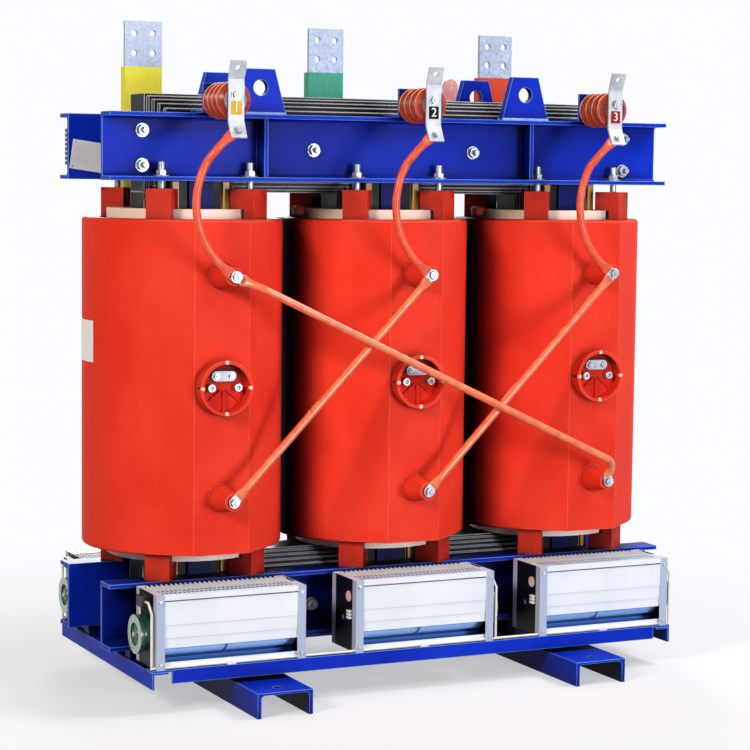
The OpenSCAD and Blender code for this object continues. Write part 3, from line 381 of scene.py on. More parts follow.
def bolts(name, spots, axis, seed, corners, head, washer, thread, washer_h=0.0025):
    values = {"Across Corners": corners, "Head Height": head, "Washer Radius": washer,
              "Washer Height": washer_h, "Thread Radius": 0.55 * corners, "Thread Height": thread,
              "Axis": axis, "Seed": seed, "Finish": zinc_steel}
    mesh = grown(bolt_tree, spots, {bolt_keys[label]: value for label, value in values.items()})
    return piece(name, mesh, "zinc_steel")


# Clamp bolts: pairs at the ends of the top clamps and single bolts between the coils pull the clamps on to
# the yokes; the bottom clamps carry single bolts and the bolts that hold the end rails' spacers.
web, spacer_out = 0.0085, 0.03
end_x, end_rows, between_x, between_z = 0.663, (0.036, 0.118), 0.22, 0.077
lower_x, lower_z, spacer_x, spacer_z = (-0.66, -0.215, 0.215, 0.66), 0.066, 0.689, 0.010
clamp_bolt = {"corners": 0.0135, "head": 0.011, "washer": 0.0165, "thread": 0.014, "washer_h": 0.003}
for side, face in (("front", -1), ("rear", 1)):
    low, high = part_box("top_clamp_" + side)
    y = (high.y - web) if face < 0 else (low.y + web)
    spots = [(x, y, low.z + z) for x in (-end_x, end_x) for z in end_rows]
    spots += [(x, y, low.z + between_z) for x in (-between_x, between_x)]
    bolts("top_clamp_bolts_" + side, spots, (0, face, 0), seed=3, **clamp_bolt)
    low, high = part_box("bottom_clamp_" + side)
    spots = [(x, y, low.z + lower_z) for x in lower_x]
    bolts("bottom_clamp_bolts_" + side, spots, (0, face, 0), seed=5, **clamp_bolt)
    spots = [(x, y + face * spacer_out, low.z + spacer_z) for x in (-spacer_x, spacer_x)]
    bolts("spacer_bolts_" + side, spots, (0, 0, 1), seed=7, corners=0.0115, head=0.009, washer=0.014,
          thread=0.010)


# Pressure screw washers: thick turned steel washers, zinc plated, that lie on the top clamps' lower
# flanges under the nuts of the pressure screws.
def turned(name, spots, axis, profile, slot, finish, sides=32):
    """Turns a profile of radius and height about an axis at every spot."""
    mesh = bmesh.new()
    stand = Vector((0, 0, 1)).rotation_difference(Vector(axis)).to_matrix()
    turns = [2 * math.pi * k / sides for k in range(sides)]
    for spot in spots:
        rings = []
        for r, h in profile:
            rings.append([mesh.verts.new(Vector(spot) + stand @ Vector((r * math.cos(a), r * math.sin(a), h)))
                          for a in (turns if r > 0 else turns[:1])])
        for one, two in zip(rings, rings[1:]):
            for k in range(sides):
                corners = (one[k % len(one)], one[(k + 1) % len(one)],
                           two[(k + 1) % len(two)], two[k % len(two)])
                mesh.faces.new(tuple(dict.fromkeys(corners)))
    bmesh.ops.recalc_face_normals(mesh, faces=mesh.faces)
    return piece(name, finished(mesh, name), slot, finish)


coil_low, coil_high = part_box("hv_coil_b")
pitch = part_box("hv_coil_c")[1].x - coil_high.x
phases = (-pitch, 0.0, pitch)
screw_low, screw_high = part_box("pressure_screws")
nut_corner, nut_flat, clamp_flange = 0.0128, 0.0111, 0.010
screw_x = screw_high.x - nut_corner - pitch
nut_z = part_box("top_clamp_front")[0].z + clamp_flange
spots = [(x + s * screw_x, y, nut_z) for x in phases for s in (-1, 1)
         for y in (screw_low.y + nut_flat, screw_high.y - nut_flat)]
turned("pressure_washers", spots, (0, 0, 1),
       [(0.0, 0.0003), (0.0185, 0.0003), (0.019, 0.0008), (0.019, 0.0028), (0.0185, 0.0033), (0.0, 0.0033)],
       "zinc_steel", zinc_steel)


# Core: packets of grain-oriented sheet steel, stacked in steps and lacquered black after assembly. A pale
# painted highlight on every edge shows as a pale line along each step.
core_lacquer, tree, shader, where = surface(
    "lacquered core steel", "#040507", "#0B0C11", patch=60, rough=(0.36, 0.5), grain=2.0, depth=0.05, edge=4.0,
    sockets={"Specular IOR Level": 0.12}, edge_tint="#F6F8FC")
# Single sheets are 0.3 mm thick and too fine to show, so they are drawn about 6 mm apart. The wave node
# counts 20 radians to a unit of its scale.
sheet_mm, sheet_share = 5.9218, 0.25
sheets = add(tree, "ShaderNodeTexWave", {"Vector": where, "Scale": 1000 / sheet_mm * 2 * math.pi / 20,
                                         "Distortion": 0.4, "Detail": 1.0},
             wave_type="BANDS", bands_direction="Y", wave_profile="SIN")
thin = add(tree, "ShaderNodeMath", {0: sheets.outputs["Fac"], 1: sheet_share}, operation="MULTIPLY")
overpaint(tree, shader, thin.outputs[0], "#1A1C23")
paint_node(["core_bottom_yoke", "core_top_yoke", "core_limbs"], core_lacquer)

# Limb wedges: strips of planed beech, varnished against damp and driven in between the limb and the
# low-voltage coil. The grain runs upright.
wedge_wood, tree, shader, where = surface(
    "varnished beech", "#C98A2C", "#E6AC4C", patch=40, rough=(0.35, 0.5), grain=1.5, depth=0.05, edge=0.8)
fibre_mm, fibre_stretch = 2.381, 0.06
stretch = add(tree, "ShaderNodeMapping", {"Vector": where, "Scale": (1.0, 1.0, fibre_stretch)})
fibre = add(tree, "ShaderNodeTexNoise", {"Vector": stretch.outputs[0], "Scale": 1000 / fibre_mm,
                                         "Detail": 5.0})
overpaint(tree, shader, fibre.outputs["Fac"], "#A06A1E", keeps=True)
paint_node(["limb_wedges"], wedge_wood)

# Low-voltage coils: foil windings under a sealing coat of cream resin that is poured over their ends.
# They stand inside the red coils, and only the ends show, above and below.
lv_resin = surface("cream sealing resin", "#F3D0B8", "#FDE6D6", patch=70, rough=(0.4, 0.54), grain=4.0,
                   depth=0.12, edge=2.0, sockets={"IOR": 1.52})[0]
paint_node(["lv_coil_a", "lv_coil_b", "lv_coil_c"], lv_resin)


# High-voltage coils: windings cast under vacuum in filled epoxy resin, in a polished steel mould, so the
# skin is an even satin red with faint clouding, and its sharp corners take a pale painted highlight. A
# painted shade darkens the hollows; inside every tap recess the red is laid over it again, fully on the
# lower floor and less towards the top, which keeps it there as a painted shadow of the rim.
def by_phase(tree, where):
    """Splits a place into X, Y and Z, and gives its distance in X from the nearest phase."""
    place = add(tree, "ShaderNodeSeparateXYZ", {"Vector": where})
    across = add(tree, "ShaderNodeMath", {0: place.outputs["X"], 1: pitch / 2}, operation="PINGPONG")
    return place.outputs, across.outputs[0]


def about_axis(tree, where, axis_z):
    """Gives a place, its height over the axis that crosses a phase at axis_z, and its distance from it."""
    place, across = by_phase(tree, where)
    above = add(tree, "ShaderNodeMath", {0: place["Z"], 1: axis_z}, operation="SUBTRACT").outputs[0]
    spoke = add(tree, "ShaderNodeCombineXYZ", {"X": across, "Z": above})
    reach = add(tree, "ShaderNodeVectorMath", {0: spoke.outputs[0]}, operation="LENGTH")
    return place, above, reach.outputs["Value"]


high_drop, low_rise = 0.130, 0.140
high_z, low_z = coil_high.z - high_drop, coil_low.z + low_rise
tap_z, tap_r, tap_rim = (high_z + low_z) / 2, 0.065, 0.006
rim_shadow_over, unshaded_under, unshaded_least = 0.034, 0.002, 0.12
hv_resin, tree, shader, where = surface(
    "cast red epoxy resin", "#E63420", "#F44430", patch=220, rough=(0.46, 0.58), grain=3.5, depth=0.06, edge=2.3,
    sockets={"IOR": 1.53, "Specular IOR Level": 0.04}, edge_tint="#FA9A70", hollow=("#1E0410", 160))
# Tap recesses: the painted shade is covered with red on the lower floor and left above as a painted rim shadow.
place, above, reach = about_axis(tree, where, tap_z)
recess = add(tree, "ShaderNodeMath", {0: reach, 1: tap_r - tap_rim}, operation="LESS_THAN").outputs[0]
front = add(tree, "ShaderNodeMath", {0: place["Y"], 1: 0.0}, operation="LESS_THAN").outputs[0]
inside = add(tree, "ShaderNodeMath", {0: recess, 1: front}, operation="MULTIPLY").outputs[0]
recess_unshaded = add(tree, "ShaderNodeMapRange", {"Value": above, "From Min": rim_shadow_over, "From Max": unshaded_under,
                                         "To Min": unshaded_least})
unshaded_floor = add(tree, "ShaderNodeMath", {0: inside, 1: recess_unshaded.outputs[0]}, operation="MULTIPLY")
overpaint(tree, shader, unshaded_floor.outputs[0], "#DC3020")
paint_node(["hv_coil_a", "hv_coil_b", "hv_coil_c"], hv_resin)

# Support blocks: moulded from the same filled resin, with a matt skin. They stand under and over each
# coil and are held by the pressure screws.
# The blocks carry a painted highlight on their edges and a painted shade in their hollows.
block_resin = surface("moulded red resin", "#B8230F", "#D53218", patch=45, rough=(0.5, 0.64), grain=1.8,
                      depth=0.10, edge=1.4, sockets={"IOR": 1.53, "Specular IOR Level": 0.2},
                      edge_tint="#EE6E4C", hollow=("#2A0508", 90))[0]
paint_node(["lower_support_blocks", "upper_support_blocks"], block_resin)


# Coil spacers: moulded plugs of the blocks' resin that stand on the second and third coil, at the left,
# over the gap to the coil beside it.
def slab(size, place, edge):
    """One box with rounded edges, placed by a matrix."""
    mesh = bmesh.new()
    bmesh.ops.create_cube(mesh, size=1.0, matrix=place @ Matrix.Diagonal((*size, 1.0)))
    bmesh.ops.bevel(mesh, geom=mesh.edges[:], offset=edge, segments=2, affect="EDGES", profile=0.5)
    bmesh.ops.recalc_face_normals(mesh, faces=mesh.faces)
    return finished(mesh, "slab")


spacer_r, spacer_size, spacer_edge = 0.200, (0.030, 0.034, 0.030), 0.008
spacers = [slab(spacer_size, Matrix.Translation((x - spacer_r, 0, coil_high.z + spacer_size[2] / 2)),
                spacer_edge) for x in phases[1:]]
piece("coil_spacers", joined(spacers), "block_resin", block_resin)

# Post insulators and standoffs: glossy brown-red cast resin with rounded sheds, screwed to the clamps.
# A pale painted highlight lies on the upper side of every rim, and painted shade darkens the grooves and
# hollows.
rim_outer, rim_inner, shed_round, shed_slack = 0.0004, 0.0016, 0.003, 0.001
for name, shed_depth in (("hv_insulators", 0.014), ("lv_standoffs", 0.0104)):
    made, tree, shader, where = surface(
        "glossy resin of " + name, "#96240F", "#C04018", patch=12, rough=(0.24, 0.34), grain=4.0, depth=0.03,
        edge=1.2, sockets={"IOR": 1.53, "Specular IOR Level": 0.3}, hollow=("#240402", 13))
    low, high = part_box(name)
    shed_r = (high.z - low.z) / 2
    place, above, reach = about_axis(tree, where, (low.z + high.z) / 2)
    groove = add(tree, "ShaderNodeMapRange", {"Value": reach, "From Min": shed_r - shed_depth,
                                              "From Max": shed_r - shed_round, "To Min": 0.25})
    rim = add(tree, "ShaderNodeMapRange", {"Value": reach, "From Min": shed_r - rim_inner,
                                           "From Max": shed_r - rim_outer})
    normal = add(tree, "ShaderNodeNewGeometry").outputs["Normal"]
    facing = add(tree, "ShaderNodeSeparateXYZ", {"Vector": normal})
    upper = add(tree, "ShaderNodeMapRange", {"Value": facing.outputs["Z"], "From Min": -0.7, "From Max": 0.5,
                                             "To Min": 0.1, "To Max": 0.85})
    near = add(tree, "ShaderNodeMath", {0: reach, 1: shed_r + shed_slack}, operation="LESS_THAN")
    upper_lit = add(tree, "ShaderNodeMath", {0: upper.outputs[0], 1: near.outputs[0]}, operation="MULTIPLY")
    rim_highlight = add(tree, "ShaderNodeMath", {0: rim.outputs[0], 1: upper_lit.outputs[0]}, operation="MULTIPLY")
    # Painted shade in the grooves between the sheds, and a painted highlight on the rims' upper side.
    overpaint(tree, shader, groove.outputs[0], "#4A0E06", keeps=True)
    overpaint(tree, shader, rim_highlight.outputs[0], "#FAB88C")
    paint_node([name], made)


# Terminal tabs, tap links and bar ends: copper strap, tin plated, dull and cloudy from handling, with
# faint lines along the rolled length.
def tinned(name, dark, light, patch=26, shine=0.3):
    made, tree, shader, where = surface(name, dark, light, patch, rough=(0.36, 0.52), grain=1.0, depth=0.03,
                                        edge=0.8, sockets={"Metallic": 0.15, "Specular IOR Level": 0.1})
    line_mm, line_stretch = 1.42857, 0.03
    stretch = add(tree, "ShaderNodeMapping", {"Vector": where, "Scale": (1.0, 1.0, line_stretch)})
    lines = add(tree, "ShaderNodeTexNoise", {"Vector": stretch.outputs[0], "Scale": 1000 / line_mm,
                                             "Detail": 3.0})
    thin = add(tree, "ShaderNodeMath", {0: lines.outputs["Fac"], 1: shine}, operation="MULTIPLY")
    overpaint(tree, shader, thin.outputs[0], "#EEF2F6")
    return made, tree, shader, where


tinned_copper = tinned("tin-plated copper", "#A3ABB8", "#D3D9E1")[0]
paint_node(["hv_terminal_tabs", "tap_links"], tinned_copper)

# Sleeved leads and delta bars: copper tube flattened to a palm at each end and covered with orange-red
# shrink sleeve, also over the flattened length. The palms are bolted to the castings and behind the tabs.
# The long tube stands clear of the others and hooks down to its lower bolt.
sleeve_red = surface("shrink sleeve", "#E6562A", "#F48248", patch=22, rough=(0.34, 0.46), grain=1.6,
                     depth=0.08, edge=0.6,
                     sockets={"IOR": 1.5, "Coat Weight": 0.6, "Coat Roughness": 0.16})[0]
lead_red = surface("lead sleeve", "#DE4A2C", "#EC6240", patch=22, rough=(0.34, 0.46), grain=1.6,
                   depth=0.08, edge=0.6, sockets={"IOR": 1.5, "Specular IOR Level": 0.2,
                                                  "Coat Weight": 0.25, "Coat Roughness": 0.16})[0]
boss_y = coil_low.y
tube_r, sleeve_t, bare_l = 0.0095, 0.0012, 0.0245
palm_t, palm_half = 0.004, 0.0125
swage_start, swage_l = 2.2 * palm_half, 2.6 * palm_half


def run_along(path):
    run = [0.0]
    for one, two in zip(path, path[1:]):
        run.append(run[-1] + (two - one).length)
    return run


def eased(share):
    share = min(1.0, max(0.0, share))
    return share * share * (3 - 2 * share)


def sleeved(name, replaced, path, normals, finish):
    """One tube: flat rounded palms, a swage up to the round, and a sleeve up to the palms."""
    run = run_along(path)
    ends = [min(s, run[-1] - s) for s in run]
    core_r = tube_r - sleeve_t
    sizes = []
    for end in ends:
        wide = palm_half
        if end <= palm_half:
            wide = math.sqrt(max(1e-8, palm_half ** 2 - (palm_half - end) ** 2))
        mix = eased((end - swage_start) / swage_l)
        sizes.append((wide + (core_r - wide) * mix, palm_t / 2 + (core_r - palm_t / 2) * mix))
    tube = piece(name, loft(path, sizes, normals), "tinned_copper", tinned_copper)
    keep = [i for i, end in enumerate(ends) if bare_l <= end]
    cover = [(sizes[i][0] + sleeve_t, sizes[i][1] + sleeve_t) for i in keep]
    skin = loft([path[i] for i in keep], cover, [normals[i] for i in keep])
    piece(name + "_sleeve", skin, "sleeve_red", finish)
    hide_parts(*replaced)


flat_front = Vector((0, -1, 0))
for name, x_high, x_low in (("left", 0.0, -pitch), ("right", pitch, 0.0)):
    start = Vector((x_high, boss_y - 1.5 * palm_t, high_z))
    end = Vector((x_low, boss_y - 0.5 * palm_t, low_z))
    along = (end - start).normalized() * palm_half
    path = straight(start - along, end + along, 160)
    sleeved("delta_tube_" + name, ["delta_bar_" + name], path, [flat_front] * len(path), sleeve_red)

hook, hook_into, hook_drop, hook_steps = Vector((0.012, 0, 0.046)), 0.040, 0.016, 24
start = Vector((-pitch, boss_y - 1.5 * palm_t, high_z))
end = Vector((pitch, boss_y - 0.5 * palm_t, low_z))
bend = end + hook
along = (bend - start).normalized()
into, out_of = bend - hook_into * along, end + Vector((0, 0, hook_drop))
path = straight(start - palm_half * along, into, 240)[:-1]
for t in [i / hook_steps for i in range(hook_steps)]:
    path.append((1 - t) ** 2 * into + 2 * t * (1 - t) * bend + t * t * out_of)
path += straight(out_of, end - Vector((0, 0, palm_half)), 14)
run = run_along(path)
joggle, joggle_start, joggle_l = 0.028, 0.030, 0.055
for point, s in zip(path, run):
    point.y -= joggle * eased((min(s, run[-1] - s) - joggle_start) / joggle_l)
sleeved("delta_tube_long", ["delta_bar_long"], path, [flat_front] * len(path), sleeve_red)

post_rise, tab_half, tab_end, tab_lean = 0.027, 0.049, 0.044, math.radians(28)
post_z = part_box("top_clamp_front")[1].z + post_rise
rise = post_z - tab_half - high_z - tab_end / 2
sag = 0.098
arc_r = (rise * rise / 4 + sag * sag) / (2 * sag)
half_a = math.asin(rise / 2 / arc_r)
arc_steps, lean_from, lean_steps, set_back = 140, 104, 24, 0.0022
for phase, x in enumerate(phases):
    path, normals = [], []
    middle = Vector((x + arc_r - sag, boss_y - 0.5 * palm_t, high_z + rise / 2))
    spread = half_a + palm_half / arc_r
    for i in range(arc_steps + 1):
        a = spread * (2 * i / arc_steps - 1)
        climb = min(1.0, max(0.0, (i - lean_from) / lean_steps))
        point = middle + Vector((-arc_r * math.cos(a), 0, arc_r * math.sin(a)))
        point.y += climb * (math.tan(tab_lean) * (point.z - (post_z - tab_half - tab_end / 2)) - set_back)
        path.append(point)
        lean = tab_lean * climb
        normals.append(Vector((0, -math.cos(lean), math.sin(lean))))
    sleeved("lead_%s" % "abc"[phase], ["hv_leads"] if phase == 1 else [], path, normals, lead_red)

spots = [(x, boss_y - 2 * palm_t, high_z) for x in phases]
spots += [(x, boss_y - palm_t, low_z) for x in phases]
bolts("terminal_bolts", spots, (0, -1, 0), seed=11, corners=0.0105, head=0.008, washer=0.0135, thread=0.004)

# Tap recesses: nickel-plated sockets and a bolted link inside each rim, and four pale inserts in the rim
# that take the screws of its cover.
stud_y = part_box("tap_links")[0].y
link_y, link_x, link_z = stud_y + 0.004, 0.019, tap_z + 0.42 * tap_r
socket_x, socket_in = 0.52 * tap_r, 0.008
rim_y, insert_reach = boss_y + 0.045, tap_r - 0.0045
bolts("tap_link_bolts", [(x + s * link_x, link_y, link_z) for x in phases for s in (-1, 1)], (0, -1, 0),
      seed=17, corners=0.0072, head=0.005, washer=0.0085, thread=0.003, washer_h=0.0012)
turned("tap_sockets", [(x + s * socket_x, stud_y + socket_in, tap_z) for x in phases for s in (-1, 1)],
       (0, -1, 0), [(0.0, 0.002), (0.0048, 0.002), (0.0048, 0.0116), (0.0056, 0.0122), (0.0088, 0.0122),
                    (0.0096, 0.0114), (0.0096, 0.0), (0.0, 0.0)], "zinc_steel", zinc_steel, 24)
insert_resin = surface("pale insert", "#F4C49A", "#FFE2C0", patch=8, rough=(0.35, 0.45), grain=1.0,
                       depth=0.03, edge=0.6)[0]
inserts = [(x + insert_reach * math.cos(a), rim_y, tap_z + insert_reach * math.sin(a))
           for x in phases for a in (0, math.pi / 2, math.pi, 1.5 * math.pi)]
turned("tap_cover_inserts", inserts, (0, -1, 0),
       [(0.0, 0.0004), (0.002, 0.0004), (0.002, 0.0014), (0.0042, 0.0014), (0.0048, 0.0008),
        (0.0048, -0.006), (0.0, -0.006)], "block_resin", insert_resin, 24)

# Phase markers: small enamelled plates with a printed number, stuck to the terminal tabs under the bolt
# that holds each tab. A second bolt holds the lead to the tab's lower flap.
tab_t = 0.005
tab_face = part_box("hv_insulators")[0].y - tab_t
marker_w, marker_h, marker_t, marker_edge = 0.026, 0.030, 0.0012, 0.0004
marker_z, tab_bolt_z, flap_reach = post_z - 0.018, post_z + 0.012, 0.026
bolts("tab_bolts", [(x, tab_face, tab_bolt_z) for x in phases], (0, -1, 0), seed=13,
      corners=0.0098, head=0.007, washer=0.0125, thread=0.003)
flap = Vector((0, -math.sin(tab_lean), -math.cos(tab_lean)))
flap_front = Vector((0, -math.cos(tab_lean), math.sin(tab_lean)))
flap_spot = Vector((0, tab_face + tab_t, post_z - tab_half)) + flap_reach * flap + tab_t * flap_front
bolts("tab_lead_bolts", [flap_spot + Vector((x, 0, 0)) for x in phases], tuple(flap_front), seed=19,
      corners=0.0078, head=0.005, washer=0.0098, thread=0.003, washer_h=0.0015)
upright = Matrix.Rotation(math.pi / 2, 4, "X")
numeral_h, ink_t, ink_lift = 0.030, 0.0003, 0.0002
white_ink = surface("white printing ink", "#F3F1E8", "#FFFEF8", patch=6, rough=(0.4, 0.5), grain=0.8,
                    depth=0.01, edge=0.2)[0]
for x, digit, dark, light in ((-pitch, "1", "#D9A419", "#EFC233"), (0.0, "2", "#0B0B0D", "#1A1A1E"),
                              (pitch, "3", "#8E1E14", "#A82E20")):
    ground = surface("marker paint " + digit, dark, light, patch=8, rough=(0.35, 0.45), grain=0.8,
                     depth=0.02, edge=0.4, sockets={"Specular IOR Level": 0.05})[0]
    place = Matrix.Translation((x, tab_face - marker_t / 2, marker_z))
    piece("phase_marker_" + digit, slab((marker_w, marker_t, marker_h), place, marker_edge), "pale_paint",
          ground)
    curve = bpy.data.curves.new("numeral", "FONT")
    curve.body = digit
    curve.size = numeral_h
    curve.extrude = ink_t
    curve.align_x = "CENTER"
    curve.align_y = "CENTER"
    mesh = made_plain(bpy.data.objects.new("numeral", curve))
    mesh.materials.clear()
    mesh.transform(Matrix.Translation((x, tab_face - marker_t - ink_lift, marker_z)) @ upright)
    piece("phase_numeral_" + digit, mesh, "pale_paint", white_ink)

# Low-voltage bars: tinned copper, bare over the connection holes and brush painted below in the phase's
# colour. The paint is thick, streaky and ends in an uneven line.
bare_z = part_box("lv_bar_a")[1].z - 0.115
wobble_mm, wobble_h, streak_mm, streak_stretch = 16.6667, 0.006, 4.16667, 0.08
paint_off, paint_full = bare_z + 0.0045, bare_z + 0.0028
for name, dark, light in (("a", "#F2E42A", "#FFFA62"), ("b", "#2F8E74", "#5CB89C"),
                          ("c", "#CC3420", "#E65A3C")):
    made, tree, shader, where = tinned("tinned bar with painted foot " + name, "#8392AE", "#B9C6DC",
                                       patch=7, shine=0.2)
    place = add(tree, "ShaderNodeSeparateXYZ", {"Vector": where})
    wobble = add(tree, "ShaderNodeTexNoise", {"Vector": where, "Scale": 1000 / wobble_mm, "Detail": 2.0})
    lifted = add(tree, "ShaderNodeMath", {0: wobble.outputs["Fac"], 1: wobble_h, 2: place.outputs["Z"]},
                 operation="MULTIPLY_ADD")
    mask = add(tree, "ShaderNodeMapRange", {"Value": lifted.outputs[0], "From Min": paint_off,
                                            "From Max": paint_full})
    stretch = add(tree, "ShaderNodeMapping", {"Vector": where, "Scale": (1.0, 1.0, streak_stretch)})
    streak = add(tree, "ShaderNodeTexNoise", {"Vector": stretch.outputs[0], "Scale": 1000 / streak_mm,
                                              "Detail": 5.0})
    coat = add(tree, "ShaderNodeMix", {0: streak.outputs["Fac"], 6: linear(dark), 7: linear(light)},
               data_type="RGBA")
    overpaint(tree, shader, mask.outputs[0], coat.outputs[2])
    metal = add(tree, "ShaderNodeMapRange", {"Value": mask.outputs[0], "To Min": 0.2, "To Max": 0.0})
    tree.links.new(metal.outputs[0], shader.inputs["Metallic"])
    paint_node(["lv_bar_" + name], made)

# Neutral bar: a bar of the same copper on its own standoff, brush painted pale pink all over, with the
# brush marks left in the paint.
pale_paint = surface("pale brushed paint", "#E39F9B", "#F6CBC4", patch=12, rough=(0.4, 0.55), grain=2.0,
                     depth=0.12, edge=1.2)[0]
paint_node(["neutral_bar"], pale_paint)

# Terminal strip and fan terminal boxes: black moulded plastic bodies for the sensor and fan wiring, one
# screwed to the rear clamp and the others to the fans' end plates.
# The plastic's paler edges are a painted highlight.
black_plastic = surface("moulded black plastic", "#08090B", "#191B20", patch=20, rough=(0.4, 0.55),
                        grain=0.9, depth=0.05, edge=0.6, sockets={"IOR": 1.5}, edge_tint="#4A4E58")[0]
paint_node(["terminal_strip", "fan_terminal_boxes"], black_plastic)

# Bare plates: a blank aluminium rating plate riveted to the rear clamp's end, not quite straight, and a
# blank film label on the left coil's side.
plate_finish = surface("blank anodised plate", "#E2EDFF", "#F3F8FF", patch=30, rough=(0.35, 0.45),
                       grain=1.0, depth=0.02, edge=0.6)[0]
rear_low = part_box("top_clamp_rear")[0]
plate_w, plate_h, plate_t, plate_corner, rivet_in = 0.090, 0.072, 0.0015, 0.0005, 0.006
plate_x, plate_z, plate_slant = rear_low.x + 0.052, rear_low.z + 0.056, math.radians(8)
place = (Matrix.Translation((plate_x, rear_low.y - plate_t / 2, plate_z))
         @ Matrix.Rotation(plate_slant, 4, "Y"))
piece("rating_plate", slab((plate_w, plate_t, plate_h), place, plate_corner), "pale_paint", plate_finish)
corners = [place @ Vector((sx * (plate_w / 2 - rivet_in), -plate_t / 2, sz * (plate_h / 2 - rivet_in)))
           for sx in (-1, 1) for sz in (-1, 1)]
turned("rating_plate_rivets", corners, (0, -1, 0),
       [(0.0, 0.0012), (0.0012, 0.0011), (0.0022, 0.0006), (0.0026, -0.0005)], "zinc_steel", zinc_steel, 16)
film = surface("white film label", "#EDEFF1", "#FBFCFD", patch=40, rough=(0.3, 0.4), grain=2.0,
               depth=0.02, edge=0.3)[0]
hv_r, film_t = coil_high.x, 0.0006
film_a, film_z, columns = (-112, -81), (0.800, 0.900), 30
mesh = bmesh.new()
grid = []
for i in range(columns + 1):
    a = math.radians(film_a[0] + (film_a[1] - film_a[0]) * i / columns)
    for r in (hv_r + film_t, hv_r - film_t):
        grid.append([mesh.verts.new((-pitch + r * math.sin(a), -r * math.cos(a), z)) for z in film_z])
for i in range(columns):
    (o0, o1), (n0, n1), (p0, p1), (q0, q1) = grid[2 * i:2 * i + 4]
    for corners in ((o0, p0, p1, o1), (n1, q1, q0, n0), (o1, p1, q1, n1), (o0, n0, q0, p0)):
        mesh.faces.new(corners)
mesh.faces.new((grid[0][0], grid[0][1], grid[1][1], grid[1][0]))
mesh.faces.new((grid[-2][0], grid[-1][0], grid[-1][1], grid[-2][1]))
bmesh.ops.recalc_face_normals(mesh, faces=mesh.faces)
piece("coil_label", finished(mesh, "coil_label"), "pale_paint", film)

# Fan casings: folded from galvanised sheet, with a smooth pale bloom of zinc, cooler on the top. The
# corner posts are duller and the end plates between them are coated black. The top under the outlet is
# painted black as the shade inside the outlet, the inside behind the lower lip is tinted blue as a painted
# reflection of the blue clamps, and the darker edges are a painted shade.
fan_low, fan_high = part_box("fan_housings_front")
fan_half = fan_high.x - pitch
fan_front = -fan_low.y
fan_depth = fan_high.y - fan_low.y
post_w, plate_edge, skin_t, top_t, mostly = 0.021, 0.0035, 0.0025, 0.001, 0.7
grille_start, grille_end, grille_bars = 0.008, 0.0585, 31
lip_depth, well_h, screw_rows = 0.011, 0.100, (0.012, 0.160)
# The darker tint on the sheet's edges is a painted shade.
galvanised, tree, shader, where = surface(
    "galvanised sheet", "#E6EDF4", "#F6FAFD", patch=160, rough=(0.36, 0.48), grain=1.4, depth=0.02, edge=0.8,
    sockets={"Specular IOR Level": 0.15}, edge_tint="#AEBBCB")
place, across = by_phase(tree, where)
true_normal = add(tree, "ShaderNodeNewGeometry").outputs["True Normal"]
facing = add(tree, "ShaderNodeSeparateXYZ", {"Vector": true_normal})
depth = add(tree, "ShaderNodeMath", {0: place["Y"]}, operation="ABSOLUTE").outputs[0]
sideways = add(tree, "ShaderNodeMath", {0: facing.outputs["X"]}, operation="ABSOLUTE").outputs[0]
tests = {}
over, under = "GREATER_THAN", "LESS_THAN"
for name, value, kind, limit in (
        ("post", across, over, fan_half - post_w), ("between", across, under, fan_half - post_w),
        ("end", across, over, fan_half - plate_edge), ("side", sideways, over, mostly),
        ("outer", depth, over, fan_front - skin_t), ("behind", depth, under, fan_front - post_w),
        ("before", depth, over, fan_front - fan_depth + post_w), ("level", facing.outputs["Z"], over, mostly),
        ("inside", depth, under, fan_front - grille_start), ("ahead", depth, over, fan_front - grille_end),
        ("deep", depth, under, fan_front - lip_depth), ("top", place["Z"], over, fan_high.z - top_t),
        ("low", place["Z"], under, fan_low.z + well_h)):
    tests[name] = add(tree, "ShaderNodeMath", {0: value, 1: limit}, operation=kind).outputs[0]
either = ("posts", "black")
for name, one, two in (("leg", "post", "outer"), ("flank", "end", "side"), ("middle", "behind", "before"),
                       ("plate", "flank", "middle"), ("lid", "level", "top"), ("band", "inside", "ahead"),
                       ("slots", "lid", "band"), ("pierced", "slots", "between"), ("floor", "deep", "low"),
                       ("well", "floor", "before"), ("posts", "leg", "flank"), ("black", "plate", "pierced")):
    kind = "MAXIMUM" if name in either else "MULTIPLY"
    tests[name] = add(tree, "ShaderNodeMath", {0: tests[one], 1: tests[two]}, operation=kind).outputs[0]
# The well's blue is a painted reflection, and the black laid on the outlet slots is a painted shade.
for name, colour in (("lid", "#D3E4FA"), ("well", "#5C94E6"), ("posts", "#B4C0D8"), ("black", "#0E0E14")):
    overpaint(tree, shader, tests[name], colour)
paint_node(["fan_housings_front", "fan_housings_rear"], galvanised)
post_screw = {"corners": 0.0042, "head": 0.0022, "washer": 0.005, "thread": 0.0004, "washer_h": 0.0008}
spots = [(x + s * (fan_half - post_w / 2), -fan_front, fan_low.z + z) for x in phases for s in (-1, 1)
         for z in screw_rows]
bolts("fan_post_screws", spots, (0, -1, 0), seed=23, **post_screw)
spots = [(x, -y, z) for x, y, z in spots]
bolts("fan_post_screws_rear", spots, (0, 1, 0), seed=29, **post_screw)

